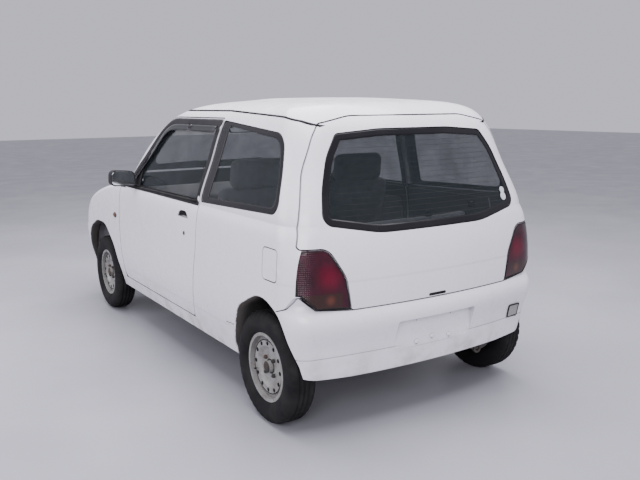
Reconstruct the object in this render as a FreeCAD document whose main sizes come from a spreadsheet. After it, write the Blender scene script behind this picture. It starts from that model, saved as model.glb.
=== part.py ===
"""Kei hatchback with three doors, plain steel wheels and right-hand drive.

Millimetres. +Z is up, +Y is the rear of the car and +X its left side.
The origin lies on the ground, in the middle of the car's length and width.
"""
import FreeCAD
import Part
import math
import os
from FreeCAD import Vector

doc = FreeCAD.newDocument("kei_hatchback")

# Driving dimensions: alias, value, meaning
SIZES = [
    ("body_length", 3395, "overall length"),
    ("body_width", 1475, "overall width"),
    ("body_height", 1475, "overall height"),
    ("wheelbase", 2340, "axle to axle"),
    ("rear_overhang", 395.5, "rear axle to rear bumper"),
    ("belt_height", 940, "where the glasshouse meets the lower body"),
    ("sill_bottom", 240, "lowest edge of the body sides"),
    ("sill_top", 312, "top of the sill, below the door"),
    ("wall", 46, "side wall with its trim"),
    ("pillar_wall", 30, "glasshouse wall and roof"),
    ("hood_thickness", 24, "hood with its inner frame"),
    ("glass_thickness", 5, "window glass"),
    ("glass_inset", 3, "glass below the outer skin"),
    ("glass_play", 0.3, "glass edge to its frame"),
    ("shut_gap", 6, "gap round doors, hood and hatch"),
    ("rear_bow", 3500, "plan radius of the tail"),
    ("arch_height", 290, "centre of the wheel houses above ground"),
    ("front_track", 1300, "front wheel centres"),
    ("rear_track", 1290, "rear wheel centres"),
    ("tyre_radius", 262, "tyre on the ground"),
    ("tyre_width", 140, "tyre section"),
    ("tyre_shoulder", 11.5, "bevel between a tyre's side and its tread"),
    ("bead_radius", 150, "rim seat"),
    ("flange_radius", 161, "rim flange"),
    ("rim_width", 108, "rim, outside its flanges"),
    ("rim_metal", 4, "rim and disc steel"),
    ("disc_offset", 40, "wheel disc outboard of the rim's middle"),
    ("hub_radius", 45, "wheel hub"),
    ("hole_circle", 111, "ring of holes in the wheel disc"),
    ("hole_radius", 9.5, "holes in the wheel disc"),
    ("bearing_play", 0.05, "hub on its spindle"),
    ("spindle_radius", 14, "wheel spindle"),
    ("kingpin_tilt", 12, "steering axis inclination, degrees"),
    ("kingpin_foot", 612, "steering axis at the lower ball joint"),
    ("ball_height", 185, "lower ball joint above ground"),
    ("strut_top", 700, "top of the front struts"),
    ("floor_height", 225, "underside of the floor"),
    ("floor_thickness", 20, "floor panel with its ribs"),
    ("cargo_height", 400, "underside of the boot floor"),
    ("lamp_depth", 70, "tail lamp housing"),
    ("seam", 0.3, "fixed panel to its neighbour"),
    ("lid_gap", 5, "gap round the fuel lid"),
    ("lid_thickness", 4, "fuel lid"),
    ("sill_inside", 600, "inner side of the sills"),
    ("post_inside", 596, "inner side of the door posts"),
    ("nose_half", 330, "half of the panel between the headlamps"),
    ("cowl_half", 590, "half of the panel below the windscreen"),
    ("floor_corner", 500, "half width of the boot floor's rear end, clear of the bumper"),
    ("panel_half", 640, "half of the panel behind the rear bumper"),
    ("rear_panel_y", 1585, "front face of the panel behind the rear bumper"),
    ("panel_thickness", 16, "panel behind the rear bumper"),
    ("bulkhead_y", -620, "cabin side of the bulkhead"),
    ("floor_half", 600, "half width of the floor"),
    ("well_inside", 530, "inner side of the rear wheel houses"),
    ("well_radius", 330, "rear wheel houses"),
    ("apron_half", 410, "outer side of the aprons beside the engine"),
    ("plate_bolts", 210, "between the two bolts of a number plate"),
    ("plate_bolt_radius", 3.2, "bolt holes of a number plate"),
    ("rear_plate_y", 1655, "flat face behind the rear plate"),
    ("rear_plate_bolt_height", 473, "bolts of the rear plate"),
    ("front_plate_y", -1684, "flat face behind the front plate"),
    ("front_plate_bolt_height", 500, "bolts of the front plate"),
    ("tow_eye_radius", 14, "eye of the towing lug"),
    ("tow_eye_height", 220, "eye of the towing lug above ground"),
    ("handle_depth", 22, "recess behind the door handle"),
    ("ledge_height", 370, "line round the bumpers above their skirt"),
    ("ledge_depth", 3, "line round the bumpers"),
    ("fuel_well_depth", 34, "recess behind the fuel lid"),
    ("buffer_radius", 6, "rubber buffers under hood and fuel lid"),
    ("hinge_height", 40, "arms of the door hinges"),
    ("hatch_lip", 14, "hatch's outer edge, before it steps in"),
    ("hatch_step", 10, "step round the hatch's inner side"),
    ("striker_top", 590, "hatch striker on the panel behind the bumper"),
    ("floor_joint", 840, "front floor to the boot floor"),
    ("engine_half", 330, "half width of the engine with its gearbox"),
    ("engine_front", 1340, "engine's front, ahead of the car's middle"),
    ("engine_length", 440, "engine along the car"),
    ("engine_bottom", 262, "engine above ground"),
    ("engine_rise", 428, "engine's height"),
    ("tank_half", 280, "half width of the fuel tank"),
    ("tank_front", 1010, "front of the fuel tank"),
    ("tank_length", 190, "fuel tank along the car"),
    ("tank_bottom", 250, "fuel tank above ground"),
    ("axle_radius", 28, "rear axle beam"),
    ("axle_cut", 75, "beam's end inboard of the wheel's middle"),
    ("backplate_radius", 95, "brake back plate"),
    ("backplate_thickness", 9, "brake back plate"),
    ("spring_radius", 45, "rear springs"),
    ("spring_place", 430, "rear springs from the car's middle"),
    ("arm_place", 440, "inner side of the trailing arms"),
    ("arm_width", 40, "trailing arms"),
    ("arm_pivot", 1005, "front end of the trailing arms"),
    ("steer_x", -330, "steering wheel from the car's middle"),
    ("steer_y", -190, "steering wheel along the car"),
    ("steer_z", 840, "steering wheel above ground"),
    ("steer_tilt", 60.6, "steering wheel's axis from the vertical, degrees"),
    ("steer_radius", 178, "steering wheel"),
    ("steer_grip", 13, "steering wheel's rim"),
    ("column_radius", 22, "steering column"),
    ("column_length", 180, "steering column"),
]
sheet = doc.addObject("Spreadsheet::Sheet", "Sizes")
for row, (alias, value, meaning) in enumerate(SIZES, 1):
    sheet.set(f"A{row}", meaning)
    sheet.set(f"B{row}", str(value))
    sheet.setAlias(f"B{row}", alias)
doc.recompute()


class Sizes:
    """The sheet's cells as plain numbers."""


S = Sizes()
for alias, value, meaning in SIZES:
    setattr(S, alias, float(sheet.get(alias)))

HALF = S.body_width / 2
TAIL = S.body_length / 2
NOSE = -TAIL
REAR_AXLE = TAIL - S.rear_overhang
FRONT_AXLE = REAR_AXLE - S.wheelbase
FAR = 2000.0
X_AXIS = Vector(1, 0, 0)
Y_AXIS = Vector(0, 1, 0)
Z_AXIS = Vector(0, 0, 1)
ORIGIN = Vector(0, 0, 0)

# Plan outlines of the lower body, all but the level inset from the overall box:
# level, side inset, tail inset, tail corner, nose inset, nose bow, nose corner
LOWER_BODY = [
    (240, 53, 60, 110, 60, 1500, 250),
    (330, 30, 45, 115, 45, 1500, 250),
    (450, 9, 32, 120, 35, 1500, 250),
    (600, 0.5, 17, 125, 26, 1500, 250),
    (740, 2.5, 20, 130, 87, 1400, 250),
    (830, 9, 31, 135, 217, 1100, 260),
    (890, 17, 44, 140, 400, 900, 270),
    (920, 25, 53, 145, 590, 880, 270),
    (940, 32.5, 59.5, 150, 820, 1000, 250),
]
# The bumpers stand proud of the lower body at both ends, same columns
BUMPERS = [
    (245, 53, 55, 110, 49, 1500, 250),
    (385, 20, 32, 115, 18, 1500, 250),
    (480, 5, 6, 120, 4, 1500, 250),
    (522, 2, 0, 121, 1, 1500, 250),
    (545, 1, 4, 122, 0, 1500, 250),
    (574, 0.5, 18.5, 125, 9, 1500, 250),
    (660, 0.5, 21, 127, 22, 1500, 250),
]
# Glasshouse and roof, same columns
GLASSHOUSE = [
    (940, 32.5, 59.5, 150, 923.5, 1300, 130),
    (1100, 74.5, 118.5, 150, 1125.5, 1350, 130),
    (1250, 120.5, 172.5, 150, 1308.5, 1400, 140),
    (1340, 151.5, 210.5, 150, 1472.5, 1450, 150),
    (1385, 175.5, 242.5, 150, 1582.5, 1450, 160),
    (1415, 202.5, 279.5, 150, 1687.5, 1450, 180),
    (1437, 245.5, 322.5, 170, 1797.5, 1450, 200),
    (1455, 332.5, 407.5, 200, 1937.5, 1450, 220),
    (1466, 437.5, 567.5, 180, 2067.5, 1450, 180),
    (1475, 560, 760, 120, 2160, 1450, 100),
]


def plan_outline(level, half, tail, tail_round, nose, nose_bow, nose_round):
    """Closed plan outline at one level: bowed tail and nose, straight sides, round corners."""
    def corner(end, bow, round_, way):
        """Where one corner's arc starts on the side, its middle, and its end on the bow."""
        reach = math.sqrt((bow - round_) ** 2 - (half - round_) ** 2)
        bow_y = end - way * bow
        centre_x = half - round_
        centre_y = bow_y + way * reach
        turn = math.atan2(reach, centre_x)
        start = Vector(half, centre_y, level)
        middle = Vector(centre_x + round_ * math.cos(turn / 2),
                        centre_y + way * round_ * math.sin(turn / 2), level)
        finish = Vector(centre_x + round_ * math.cos(turn),
                        centre_y + way * round_ * math.sin(turn), level)
        return start, middle, finish

    def other(point):
        return Vector(-point.x, point.y, point.z)

    tail_start, tail_middle, tail_finish = corner(tail, S.rear_bow, tail_round, 1)
    nose_start, nose_middle, nose_finish = corner(nose, nose_bow, nose_round, -1)
    edges = [
        Part.LineSegment(nose_start, tail_start),
        Part.Arc(tail_start, tail_middle, tail_finish),
        Part.Arc(tail_finish, Vector(0, tail, level), other(tail_finish)),
        Part.Arc(other(tail_finish), other(tail_middle), other(tail_start)),
        Part.LineSegment(other(tail_start), other(nose_start)),
        Part.Arc(other(nose_start), other(nose_middle), other(nose_finish)),
        Part.Arc(other(nose_finish), Vector(0, nose, level), nose_finish),
        Part.Arc(nose_finish, nose_middle, nose_start),
    ]
    return Part.Wire([edge.toShape() for edge in edges])


def carried_on(row, neighbour, over):
    """The outline past a table's end, in line with the last two."""
    share = over / abs(row[0] - neighbour[0])
    return tuple(value + (value - near) * share for value, near in zip(row, neighbour))


def body_loft(table, inset=0.0, sink=0.0, over=0.0):
    """Solid through a table of plan outlines, shrunk by inset and lowered by sink at the top.

    over carries the outlines on, past the outer solid's ends.
    """
    if over:
        bottom = carried_on(table[0], table[1], over)
        top = [] if sink else [carried_on(table[-1], table[-2], over)]
        table = [bottom] + table + top
    wires = []
    for index, row in enumerate(table):
        level, side, tail, tail_round, nose, nose_bow, nose_round = row
        below = table[max(index - 1, 0)]
        above = table[min(index + 1, len(table) - 1)]
        lean = math.atan2(above[1] - below[1], above[0] - below[0])
        across = inset * max(math.cos(lean), 0.2)
        half = max(HALF - side - across, 60.0)
        values = (half, TAIL - tail - across, min(max(tail_round - across, 20.0), half - 15),
                  NOSE + nose + across, nose_bow - across,
                  min(max(nose_round - across, 20.0), half - 15))
        drop = sink * math.sin(lean)
        wires.append(plan_outline(level - drop, *values))
    return Part.makeLoft(wires, True, False, False, 3)


def outline_wire(corners, place):
    """Closed wire through corners (u, v, radius), each corner rounded by its radius."""
    count = len(corners)
    edges = []
    last = None
    first = None
    for index in range(count):
        u, v, radius = corners[index]
        before = corners[index - 1]
        after = corners[(index + 1) % count]
        here = Vector(u, v, 0)
        back = (Vector(before[0], before[1], 0) - here)
        ahead = (Vector(after[0], after[1], 0) - here)
        back.normalize()
        ahead.normalize()
        if radius > 0:
            half_turn = back.getAngle(ahead) / 2
            setback = radius / math.tan(half_turn)
            bisector = back + ahead
            bisector.normalize()
            centre = here + bisector * (radius / math.sin(half_turn))
            start = here + back * setback
            finish = here + ahead * setback
            middle = centre - bisector * radius
        else:
            start = here
            finish = here
        if last is not None and (start - last).Length > 1e-6:
            edges.append(Part.LineSegment(place(last), place(start)).toShape())
        if first is None:
            first = start
        if radius > 0:
            edges.append(Part.Arc(place(start), place(middle), place(finish)).toShape())
        last = finish
    if (first - last).Length > 1e-6:
        edges.append(Part.LineSegment(place(last), place(first)).toShape())
    return Part.Wire(edges)


def prism(corners, along, low, high):
    """Solid over an outline, from low to high along X, Y or Z."""
    places = {
        "X": lambda p: Vector(low, p.x, p.y),
        "Y": lambda p: Vector(p.x, low, p.y),
        "Z": lambda p: Vector(p.x, p.y, low),
    }
    direction = {"X": X_AXIS, "Y": Y_AXIS, "Z": Z_AXIS}[along]
    face = Part.Face(outline_wire(corners, places[along]))
    return face.extrude(direction * (high - low))


def grown(corners, amount):
    """An outline moved outward by amount, inward when it is negative."""
    wire = outline_wire([(u, v, 0) for u, v, radius in corners], lambda p: p)
    area = 0.0
    count = len(corners)
    for index in range(count):
        u0, v0 = corners[index][:2]
        u1, v1 = corners[(index + 1) % count][:2]
        area += (u0 * v1 - u1 * v0) / 2
    turn = 1.0 if area > 0 else -1.0
    moved = []
    for index in range(count):
        u, v, radius = corners[index]
        before = corners[index - 1]
        after = corners[(index + 1) % count]
        first = Vector(u - before[0], v - before[1], 0)
        second = Vector(after[0] - u, after[1] - v, 0)
        first.normalize()
        second.normalize()
        normal = Vector(first.y + second.y, -first.x - second.x, 0) * turn
        normal.normalize()
        half = first.getAngle(second) / 2
        convex = (first.x * second.y - first.y * second.x) * turn > 0
        shift = amount / math.cos(half)
        new_radius = 0 if radius == 0 else max(radius + (amount if convex else -amount), 1.0)
        moved.append((u + normal.x * shift, v + normal.y * shift, new_radius))
    return moved


def box(x0, x1, y0, y1, z0, z1):
    return Part.makeBox(x1 - x0, y1 - y0, z1 - z0, Vector(x0, y0, z0))


def cylinder(radius, start, finish):
    axis = finish - start
    return Part.makeCylinder(radius, axis.Length, start, axis)


def tube(outer, inner, start, finish):
    return cylinder(outer, start, finish).cut(cylinder(inner, start, finish))


def pipe_along(route, radius):
    """Round bar through (y, z, bend radius) points in the car's middle plane."""
    corners = [Vector(0, y, z) for y, z, bend in route]
    edges = []
    last = corners[0]
    for index in range(1, len(corners) - 1):
        here = corners[index]
        back = (corners[index - 1] - here).normalize()
        ahead = (corners[index + 1] - here).normalize()
        half_turn = back.getAngle(ahead) / 2
        bend = route[index][2]
        setback = bend / math.tan(half_turn)
        bisector = (back + ahead).normalize()
        centre = here + bisector * (bend / math.sin(half_turn))
        edges.append(Part.LineSegment(last, here + back * setback).toShape())
        edges.append(Part.Arc(here + back * setback, centre - bisector * bend,
                              here + ahead * setback).toShape())
        last = here + ahead * setback
    edges.append(Part.LineSegment(last, corners[-1]).toShape())
    start = corners[0]
    section = Part.Wire(Part.makeCircle(radius, start, corners[1] - start))
    return Part.Wire(edges).makePipeShell([section], True, True)


def both_sides(shape):
    return Part.makeCompound([shape, shape.mirror(ORIGIN, X_AXIS)])


def mirrored(shape):
    return shape.mirror(ORIGIN, X_AXIS)


def solid_of(shape):
    """The largest solid of a boolean's result, without slivers."""
    return max(shape.Solids, key=lambda piece: piece.Volume)


NODES = []


def add(name, shape):
    """One named piece of the car as an object of the document."""
    piece = doc.addObject("Part::Feature", name)
    piece.Label = name
    piece.Shape = shape
    piece.Placement = shape.Placement
    NODES.append(piece)
    return piece


# Solids inside the outer faces, that the panels are hollowed with
lower_outer = body_loft(LOWER_BODY)
lower_inner = body_loft(LOWER_BODY, inset=S.wall, over=30)
bumper_outer = body_loft(BUMPERS)
bumper_inner = body_loft(BUMPERS, inset=S.wall, over=30)
house_outer = body_loft(GLASSHOUSE)
house_inner = body_loft(GLASSHOUSE, inset=S.pillar_wall, sink=S.pillar_wall, over=30)
glass_outer = body_loft(GLASSHOUSE, inset=S.glass_inset, sink=S.glass_inset)
glass_inner = body_loft(GLASSHOUSE, inset=S.glass_inset + S.glass_thickness,
                        sink=S.glass_inset + S.glass_thickness, over=30)
pane_inset = S.glass_inset + S.glass_thickness
pane_outer = body_loft(GLASSHOUSE, inset=pane_inset, sink=pane_inset)
pane_inner = body_loft(GLASSHOUSE, inset=pane_inset + S.glass_thickness,
                       sink=pane_inset + S.glass_thickness, over=30)

# Seams and openings, corner by corner: (y, z, radius) from the side
DOOR_FRONT = -606
DOOR_LINE = [
    (DOOR_FRONT, S.sill_top + S.shut_gap, 40), (DOOR_FRONT, 919, 12), (-513, 922, 4),
    (-22, 1372, 300), (694, 1372, 12), (640, 940, 600), (636, 720, 300),
    (528, S.sill_top + S.shut_gap, 30),
]
DOOR_WINDOW = [(-440, 945, 8), (-18, 1332, 250), (642, 1332, 14), (598, 956, 8)]
QUARTER_WINDOW = [(700, 1366, 18), (652, 952, 18), (1448, 978, 45), (1346, 1316, 110)]
DRIP_LINE = [(-60, 1386), (60, 1412), (700, 1412), (1184, 1391), (1280, 1386), (1383, 1369),
             (1448, 1348), (1900, 1340)]
bumper_top = 574.0
# (x, z, radius) from behind
HATCH_HALF = [
    (460, bumper_top + S.shut_gap, 10), (482, 722, 150), (560, 852, 70), (684, 853, 10),
    (650, 985, 500), (596, 1160, 500), (530, 1300, 200), (490, 1356, 25), (330, 1388, 300),
]
HATCH_GLASS_HALF = [(300, 893, 500), (574, 943, 50), (545, 1080, 500), (492, 1225, 300),
                    (428, 1318, 35), (200, 1335, 600)]
hatch_front = 1340.0
LAMP = [(466, 584, 6), (489, 722, 145), (564, 846, 66), (800, 848, 0), (800, 657, 0),
        (690, 657, 10), (622, 594, 12)]
WINDSCREEN_HALF = [(598, 940, 40), (468, 1385.7, 60)]
# (x, y, radius) from above
HOOD_HALF = [(592, -652, 20), (560, -1300, 200), (500, -1760, 0)]
HOOD_REAR = [(0, -800, 1200)]
HOOD_FRONT = 752
HEADLAMP = [(S.nose_half, 594, 0), (800, 594, 0), (800, HOOD_FRONT - S.shut_gap, 0),
            (S.nose_half, HOOD_FRONT - S.shut_gap, 0)]
HEADLAMP_BACK = -1440
FUEL_LID = [(1362, 700, 18), (1482, 700, 18), (1482, 836, 18), (1362, 836, 18)]
FENDER_END = DOOR_FRONT - S.shut_gap
lamp_front = 1584.0
# Wheel arches, (y, z, radius)
REAR_ARCH = [(1024, 100, 0), (1024, 200, 0), (998, 296, 40), (1110, 520, 130), (1338, 632, 200),
             (1530, 545, 150), (1570, 340, 120), (1570, 100, 0)]
FRONT_ARCH = [(-700, 100, 0), (-702, 340, 150), (-765, 510, 150), (-930, 640, 180),
              (-1120, 640, 260), (-1310, 565, 180), (-1368, 420, 120), (-1372, 100, 0)]
HANDLE_RECESS = [(385, 812, 20), (532, 812, 20), (532, 846, 30), (500, 888, 40), (417, 888, 40),
                 (385, 846, 30)]
HANDLE_FLAP = [(380, 806, 16), (537, 806, 16), (537, 852, 8), (380, 852, 8)]


def whole(half_outline):
    """An outline given by its +X half, closed with the mirrored half."""
    return half_outline + [(-u, v, radius) for u, v, radius in reversed(half_outline)]


rear_arch = prism(REAR_ARCH, "X", -FAR, FAR)
front_arch = prism(FRONT_ARCH, "X", -FAR, FAR)

door_prism = prism(DOOR_LINE, "X", 300, 900)
door_zone = prism(grown(DOOR_LINE, S.shut_gap), "X", 300, 900)
door_window = prism(DOOR_WINDOW, "X", 300, 900)
quarter_window = prism(QUARTER_WINDOW, "X", 300, 900)
hatch_zone = prism(grown(whole(HATCH_HALF), S.shut_gap), "Y", hatch_front - S.shut_gap, 1900)
lamp_zone = prism(LAMP, "Y", lamp_front, 1900)
windscreen_zone = prism(whole(WINDSCREEN_HALF), "Y", -1100, 200)
hood_line = whole(HOOD_HALF) + HOOD_REAR
hood_zone = prism(grown(hood_line, S.shut_gap), "Z", HOOD_FRONT - S.shut_gap, 1000)


def hollow(outer, inner, region):
    """The wall between two bodies, inside a region."""
    core = outer.common(region)
    near = core.BoundBox
    near.enlarge(20)
    wall = core.cut(inner.common(box(near.XMin, near.XMax, near.YMin, near.YMax,
                                     near.ZMin, near.ZMax)))
    if wall.Volume > core.Volume * 0.999:
        raise RuntimeError("a wall wasn't hollowed")
    return wall


def plate_bolts(level, low, high):
    """Two holes for a number plate, side by side, from low to high along the car."""
    hole = cylinder(S.plate_bolt_radius, Vector(S.plate_bolts / 2, low, level),
                    Vector(S.plate_bolts / 2, high, level))
    return hole.fuse(mirrored(hole))


def lower_skin(region):
    return hollow(lower_outer, lower_inner, region)


def house_skin(region):
    return hollow(house_outer, house_inner, region)


# Doors, each with a handle flap over its recess and two hinge arms that reach to the post
door_left = solid_of(lower_skin(door_prism).fuse(house_skin(door_prism.cut(door_window))))
lid_inner = body_loft(LOWER_BODY, inset=S.lid_thickness)
handle_back = body_loft(LOWER_BODY, inset=S.handle_depth)
flap = hollow(lower_outer, lid_inner, prism(HANDLE_FLAP, "X", 500, 900))
recess = hollow(lower_outer, handle_back, prism(HANDLE_RECESS, "X", 500, 900)).cut(flap)
post_outside = S.sill_inside + 40
door_left = door_left.cut(recess)
for level in (430, 760):
    door_left = door_left.fuse(box(post_outside + S.seam, 700, DOOR_FRONT + 6, DOOR_FRONT + 31,
                                   level, level + S.hinge_height))
door_left = solid_of(door_left)
door_glass = solid_of(hollow(pane_outer, pane_inner,
                             prism(grown(DOOR_WINDOW, -S.glass_play), "X", 300, 900)))
add("door_left", door_left)
add("door_right", mirrored(door_left))
add("door_glass_left", door_glass)
add("door_glass_right", mirrored(door_glass))

# Door mirrors, on an arm from the front corner of the window
mirror_head = prism([(712, 950, 16), (872, 958, 30), (866, 1056, 34), (724, 1044, 26)],
                    "Y", -352, -300)
mirror_arm = prism([(655, 958, 6), (735, 962, 6), (735, 990, 6), (655, 1004, 6)], "Y", -352, -318)
mirror_left = solid_of(mirror_head.fuse(mirror_arm).cut(
    pane_outer.fuse(lower_outer)))
add("mirror_left", mirror_left)
add("mirror_right", mirrored(mirror_left))

# Side panels behind the doors, with the rear pillars
side_line = [(534, S.sill_top, 0), (1100, S.sill_top, 0), (1412, 552, 0), (1540, 598, 30),
             (1580, 654, 30), (1900, 654, 0)]
side_line += [(y, z, 0) for y, z in reversed(DRIP_LINE) if y > 600] + [(640, 1412, 0)]
side_line += [(640, 900, 0), (534, 500, 0)]
side_region = prism(side_line, "X", 300, 900).cut(door_zone).cut(rear_arch)
side_region = side_region.cut(quarter_window).cut(hatch_zone).cut(lamp_zone)
quarter = solid_of(lower_skin(side_region).fuse(house_skin(side_region)))
fuel_prism = prism(FUEL_LID, "X", 500, 900)
fuel_well = prism(grown(FUEL_LID, S.lid_gap), "X", 500, 900).common(lower_outer)
fuel_floor = body_loft(LOWER_BODY, inset=S.fuel_well_depth)
fuel_cap = cylinder(27, Vector(690, 1422, 768), Vector(716, 1422, 768))
fuel_buffer = cylinder(S.buffer_radius, Vector(690, 1472, 768), Vector(760, 1472, 768))
fuel_buffer = fuel_buffer.common(body_loft(LOWER_BODY, inset=S.lid_thickness + S.seam))
quarter_fuel = quarter.cut(fuel_well.cut(fuel_floor)).fuse(fuel_cap).fuse(fuel_buffer)
quarter_fuel = solid_of(quarter_fuel)
add("quarter_left", quarter_fuel)
add("quarter_right", mirrored(quarter))
add("fuel_lid", solid_of(hollow(lower_outer, lid_inner, fuel_prism)))
quarter_glass = solid_of(hollow(glass_outer, glass_inner, prism(
    grown(QUARTER_WINDOW, -S.glass_play), "X", 300, 900)))
add("quarter_glasses", both_sides(quarter_glass))

# Sills between the wheel arches
sill_region = box(S.sill_inside, 900, -900, 1200, S.sill_bottom, S.sill_top)
sill = solid_of(lower_outer.common(sill_region.cut(rear_arch).cut(front_arch)))
add("sills", both_sides(sill))

# Roof, windscreen and the front pillars with the rails over the doors
roof_line = DRIP_LINE + [(1900, 1600), (-1000, 1600), (-1000, 1386)]
roof_region = prism([(y, z, 0) for y, z in roof_line], "X", -900, 900).cut(hatch_zone)
roof = solid_of(house_skin(roof_region))
add("roof_panel", roof)
windscreen = hollow(glass_outer, glass_inner, prism(
    grown(whole(WINDSCREEN_HALF), -S.glass_play), "Y", -1100, 200))
add("windscreen", solid_of(windscreen))
pillar_line = [(-1000, S.belt_height, 0), (700, S.belt_height, 0)]
pillar_line += [(y, z, 0) for y, z in reversed(DRIP_LINE) if y < 800] + [(-1000, 1386, 0)]
pillar_region = prism(pillar_line, "X", 300, 900).cut(door_zone).cut(windscreen_zone)
pillar_region = pillar_region.cut(box(300, 900, 640, 800, 900, 1500))
post_region = box(300, 900, FENDER_END, -480, 850, S.belt_height).cut(door_zone)
post = box(S.post_inside, post_outside, FENDER_END - 80, FENDER_END + 40,
           S.floor_height + S.floor_thickness, S.belt_height)
pillar = house_skin(pillar_region).fuse(lower_skin(post_region))
pillar = solid_of(pillar.fuse(post.common(lower_inner)).cut(sill))
add("front_pillars", both_sides(pillar))

# Hood, fenders and the panel below the windscreen
hood_prism = prism(hood_line, "Z", HOOD_FRONT, 1000)
hood_under = lower_outer.translated(Z_AXIS * -S.hood_thickness)
add("hood", solid_of(hollow(lower_outer, hood_under, hood_prism)))
fender_line = [(FENDER_END, S.sill_top, 0), (FENDER_END, S.belt_height, 0),
               (-1900, S.belt_height, 0), (-1900, bumper_top, 0), (-1100, bumper_top, 0),
               (-900, S.sill_top, 0)]
headlamp_zone = prism(HEADLAMP, "Y", -1900, HEADLAMP_BACK)
fender_region = prism(fender_line, "X", 200, 900).cut(front_arch).cut(hood_zone)
fender_region = fender_region.cut(headlamp_zone)
fender_region = fender_region.cut(box(-10, S.nose_half, -1900, -1300, 500, 800))
fender_region = fender_region.cut(box(0, S.cowl_half, -900, FENDER_END, 900, S.belt_height))
fender = solid_of(lower_skin(fender_region))
add("fenders", both_sides(fender))
cowl_region = box(-S.cowl_half, S.cowl_half, -900, S.bulkhead_y, 906, S.belt_height).cut(hood_zone)
cowl = lower_outer.common(cowl_region)
bulkhead = box(-S.post_inside, S.post_inside, S.bulkhead_y - 20, S.bulkhead_y, S.floor_height, 906)
add("bulkhead", solid_of(bulkhead.fuse(cowl)))

# Nose: headlamps, the panel between them with its slots, and the front bumper
lamp_inner = body_loft(LOWER_BODY, inset=S.lamp_depth)
headlamp_region = prism(grown(HEADLAMP, -S.seam), "Y", -1900, HEADLAMP_BACK - S.seam)
add("headlamps", both_sides(solid_of(hollow(lower_outer, lamp_inner, headlamp_region))))
nose_region = box(-S.nose_half, S.nose_half, -1900, -1300, bumper_top, HOOD_FRONT - S.shut_gap)
for level in (620, 655, 690):
    nose_region = nose_region.cut(prism(
        [(-230, level, 8), (230, level, 8), (230, level + 20, 8), (-230, level + 20, 8)],
        "Y", -1900, -1300))
add("nose_panel", solid_of(lower_skin(nose_region)))
intake = prism([(-340, 330, 20), (340, 330, 20), (320, 420, 20), (-320, 420, 20)],
               "Y", -1900, -1300)
front_bumper_region = box(-900, 900, -1900, -1100, 245, bumper_top).cut(front_arch).cut(intake)
front_plate = box(-175, 175, -1900, S.front_plate_y, 442, 545)
front_bumper_region = front_bumper_region.cut(front_plate.fuse(
    plate_bolts(S.front_plate_bolt_height, -1900, -1500)))
bumper_ledge = hollow(bumper_outer, body_loft(BUMPERS, inset=S.ledge_depth), box(
    -900, 900, -1900, 1900, S.ledge_height, S.ledge_height + 4))
front_bumper = hollow(bumper_outer, bumper_inner, front_bumper_region)
add("front_bumper", solid_of(front_bumper.cut(bumper_ledge)))

# Tail: lamps, hatch and rear bumper
tail_lamp_region = prism(grown(LAMP, -S.seam), "Y", lamp_front + S.seam, 1900)
add("tail_lamps", both_sides(solid_of(lower_outer.common(tail_lamp_region))))
hatch_window = prism(whole(HATCH_GLASS_HALF), "Y", hatch_front, 1900)
hatch_region = prism(whole(HATCH_HALF), "Y", hatch_front, 1900).cut(hatch_window)
hatch_core = prism(grown(whole(HATCH_HALF), -S.hatch_step), "Y", hatch_front, 1900)
hatch_rim = body_loft(LOWER_BODY, inset=S.hatch_lip).common(hatch_region).cut(hatch_core)
hatch = lower_skin(hatch_region).cut(hatch_rim).fuse(house_skin(hatch_region))
latch = box(-30, 30, S.rear_panel_y + 2, 1645, S.striker_top + S.seam, 640)
add("hatch", solid_of(hatch.fuse(latch)))
pane_zone = prism(grown(whole(HATCH_GLASS_HALF), -S.glass_play), "Y", hatch_front, 1900)
lower_glass_outer = body_loft(LOWER_BODY, inset=S.glass_inset)
lower_glass_inner = body_loft(LOWER_BODY, inset=pane_inset, over=30)
hatch_glass = hollow(glass_outer, glass_inner, pane_zone).fuse(
    hollow(lower_glass_outer, lower_glass_inner, pane_zone))
add("hatch_glass", solid_of(hatch_glass))
bumper_seam = [(1400, 286, 0), (1565, 284, 0), (1620, 266, 0), (1900, 264, 0), (1900, 651, 0),
               (1583, 651, 32), (1543, 594, 32), (1412, 548, 0), (1400, 548, 0)]
bumper_back = [(-900, 200, 0), (900, 200, 0), (900, 651, 0), (693, 651, 10), (624, 588, 12),
               (462, bumper_top, 0), (-462, bumper_top, 0), (-624, 588, 12), (-693, 651, 10),
               (-900, 651, 0)]
rear_bumper_region = prism(bumper_seam, "X", -900, 900).common(
    prism(bumper_back, "Y", 900, 1900)).cut(rear_arch)
plate_recess = prism([(-232, 350, 12), (232, 350, 12), (232, 494, 12), (-232, 494, 12)],
                     "Y", S.rear_plate_y, 1900)
rear_bumper_region = rear_bumper_region.cut(plate_recess.fuse(
    plate_bolts(S.rear_plate_bolt_height, 1500, 1900)))
rear_bumper = hollow(bumper_outer, bumper_inner, rear_bumper_region)
panel_back = S.rear_panel_y + S.panel_thickness
bracket = box(380, 430, panel_back, 1700, 430, 500).common(bumper_inner)
rear_bumper = rear_bumper.cut(bumper_ledge)
add("rear_bumper", solid_of(rear_bumper.fuse(bracket).fuse(mirrored(bracket))))
rear_panel = box(-S.panel_half, S.panel_half, S.rear_panel_y, panel_back, 300, bumper_top - 4)
rear_panel = rear_panel.common(lower_inner).common(body_loft(BUMPERS, inset=S.wall + S.seam))
rear_panel = rear_panel.fuse(box(-40, 40, S.rear_panel_y, panel_back, 500, S.striker_top))
tow_low = S.tow_eye_height - 24
tow_lug = prism([(-404, tow_low, 23), (-356, tow_low, 23), (-356, S.cargo_height, 0),
                 (-404, S.cargo_height, 0)], "Y", 1556, 1568)
tow_lug = tow_lug.cut(cylinder(S.tow_eye_radius, Vector(-380, 1500, S.tow_eye_height),
                               Vector(-380, 1700, S.tow_eye_height)))

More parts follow.
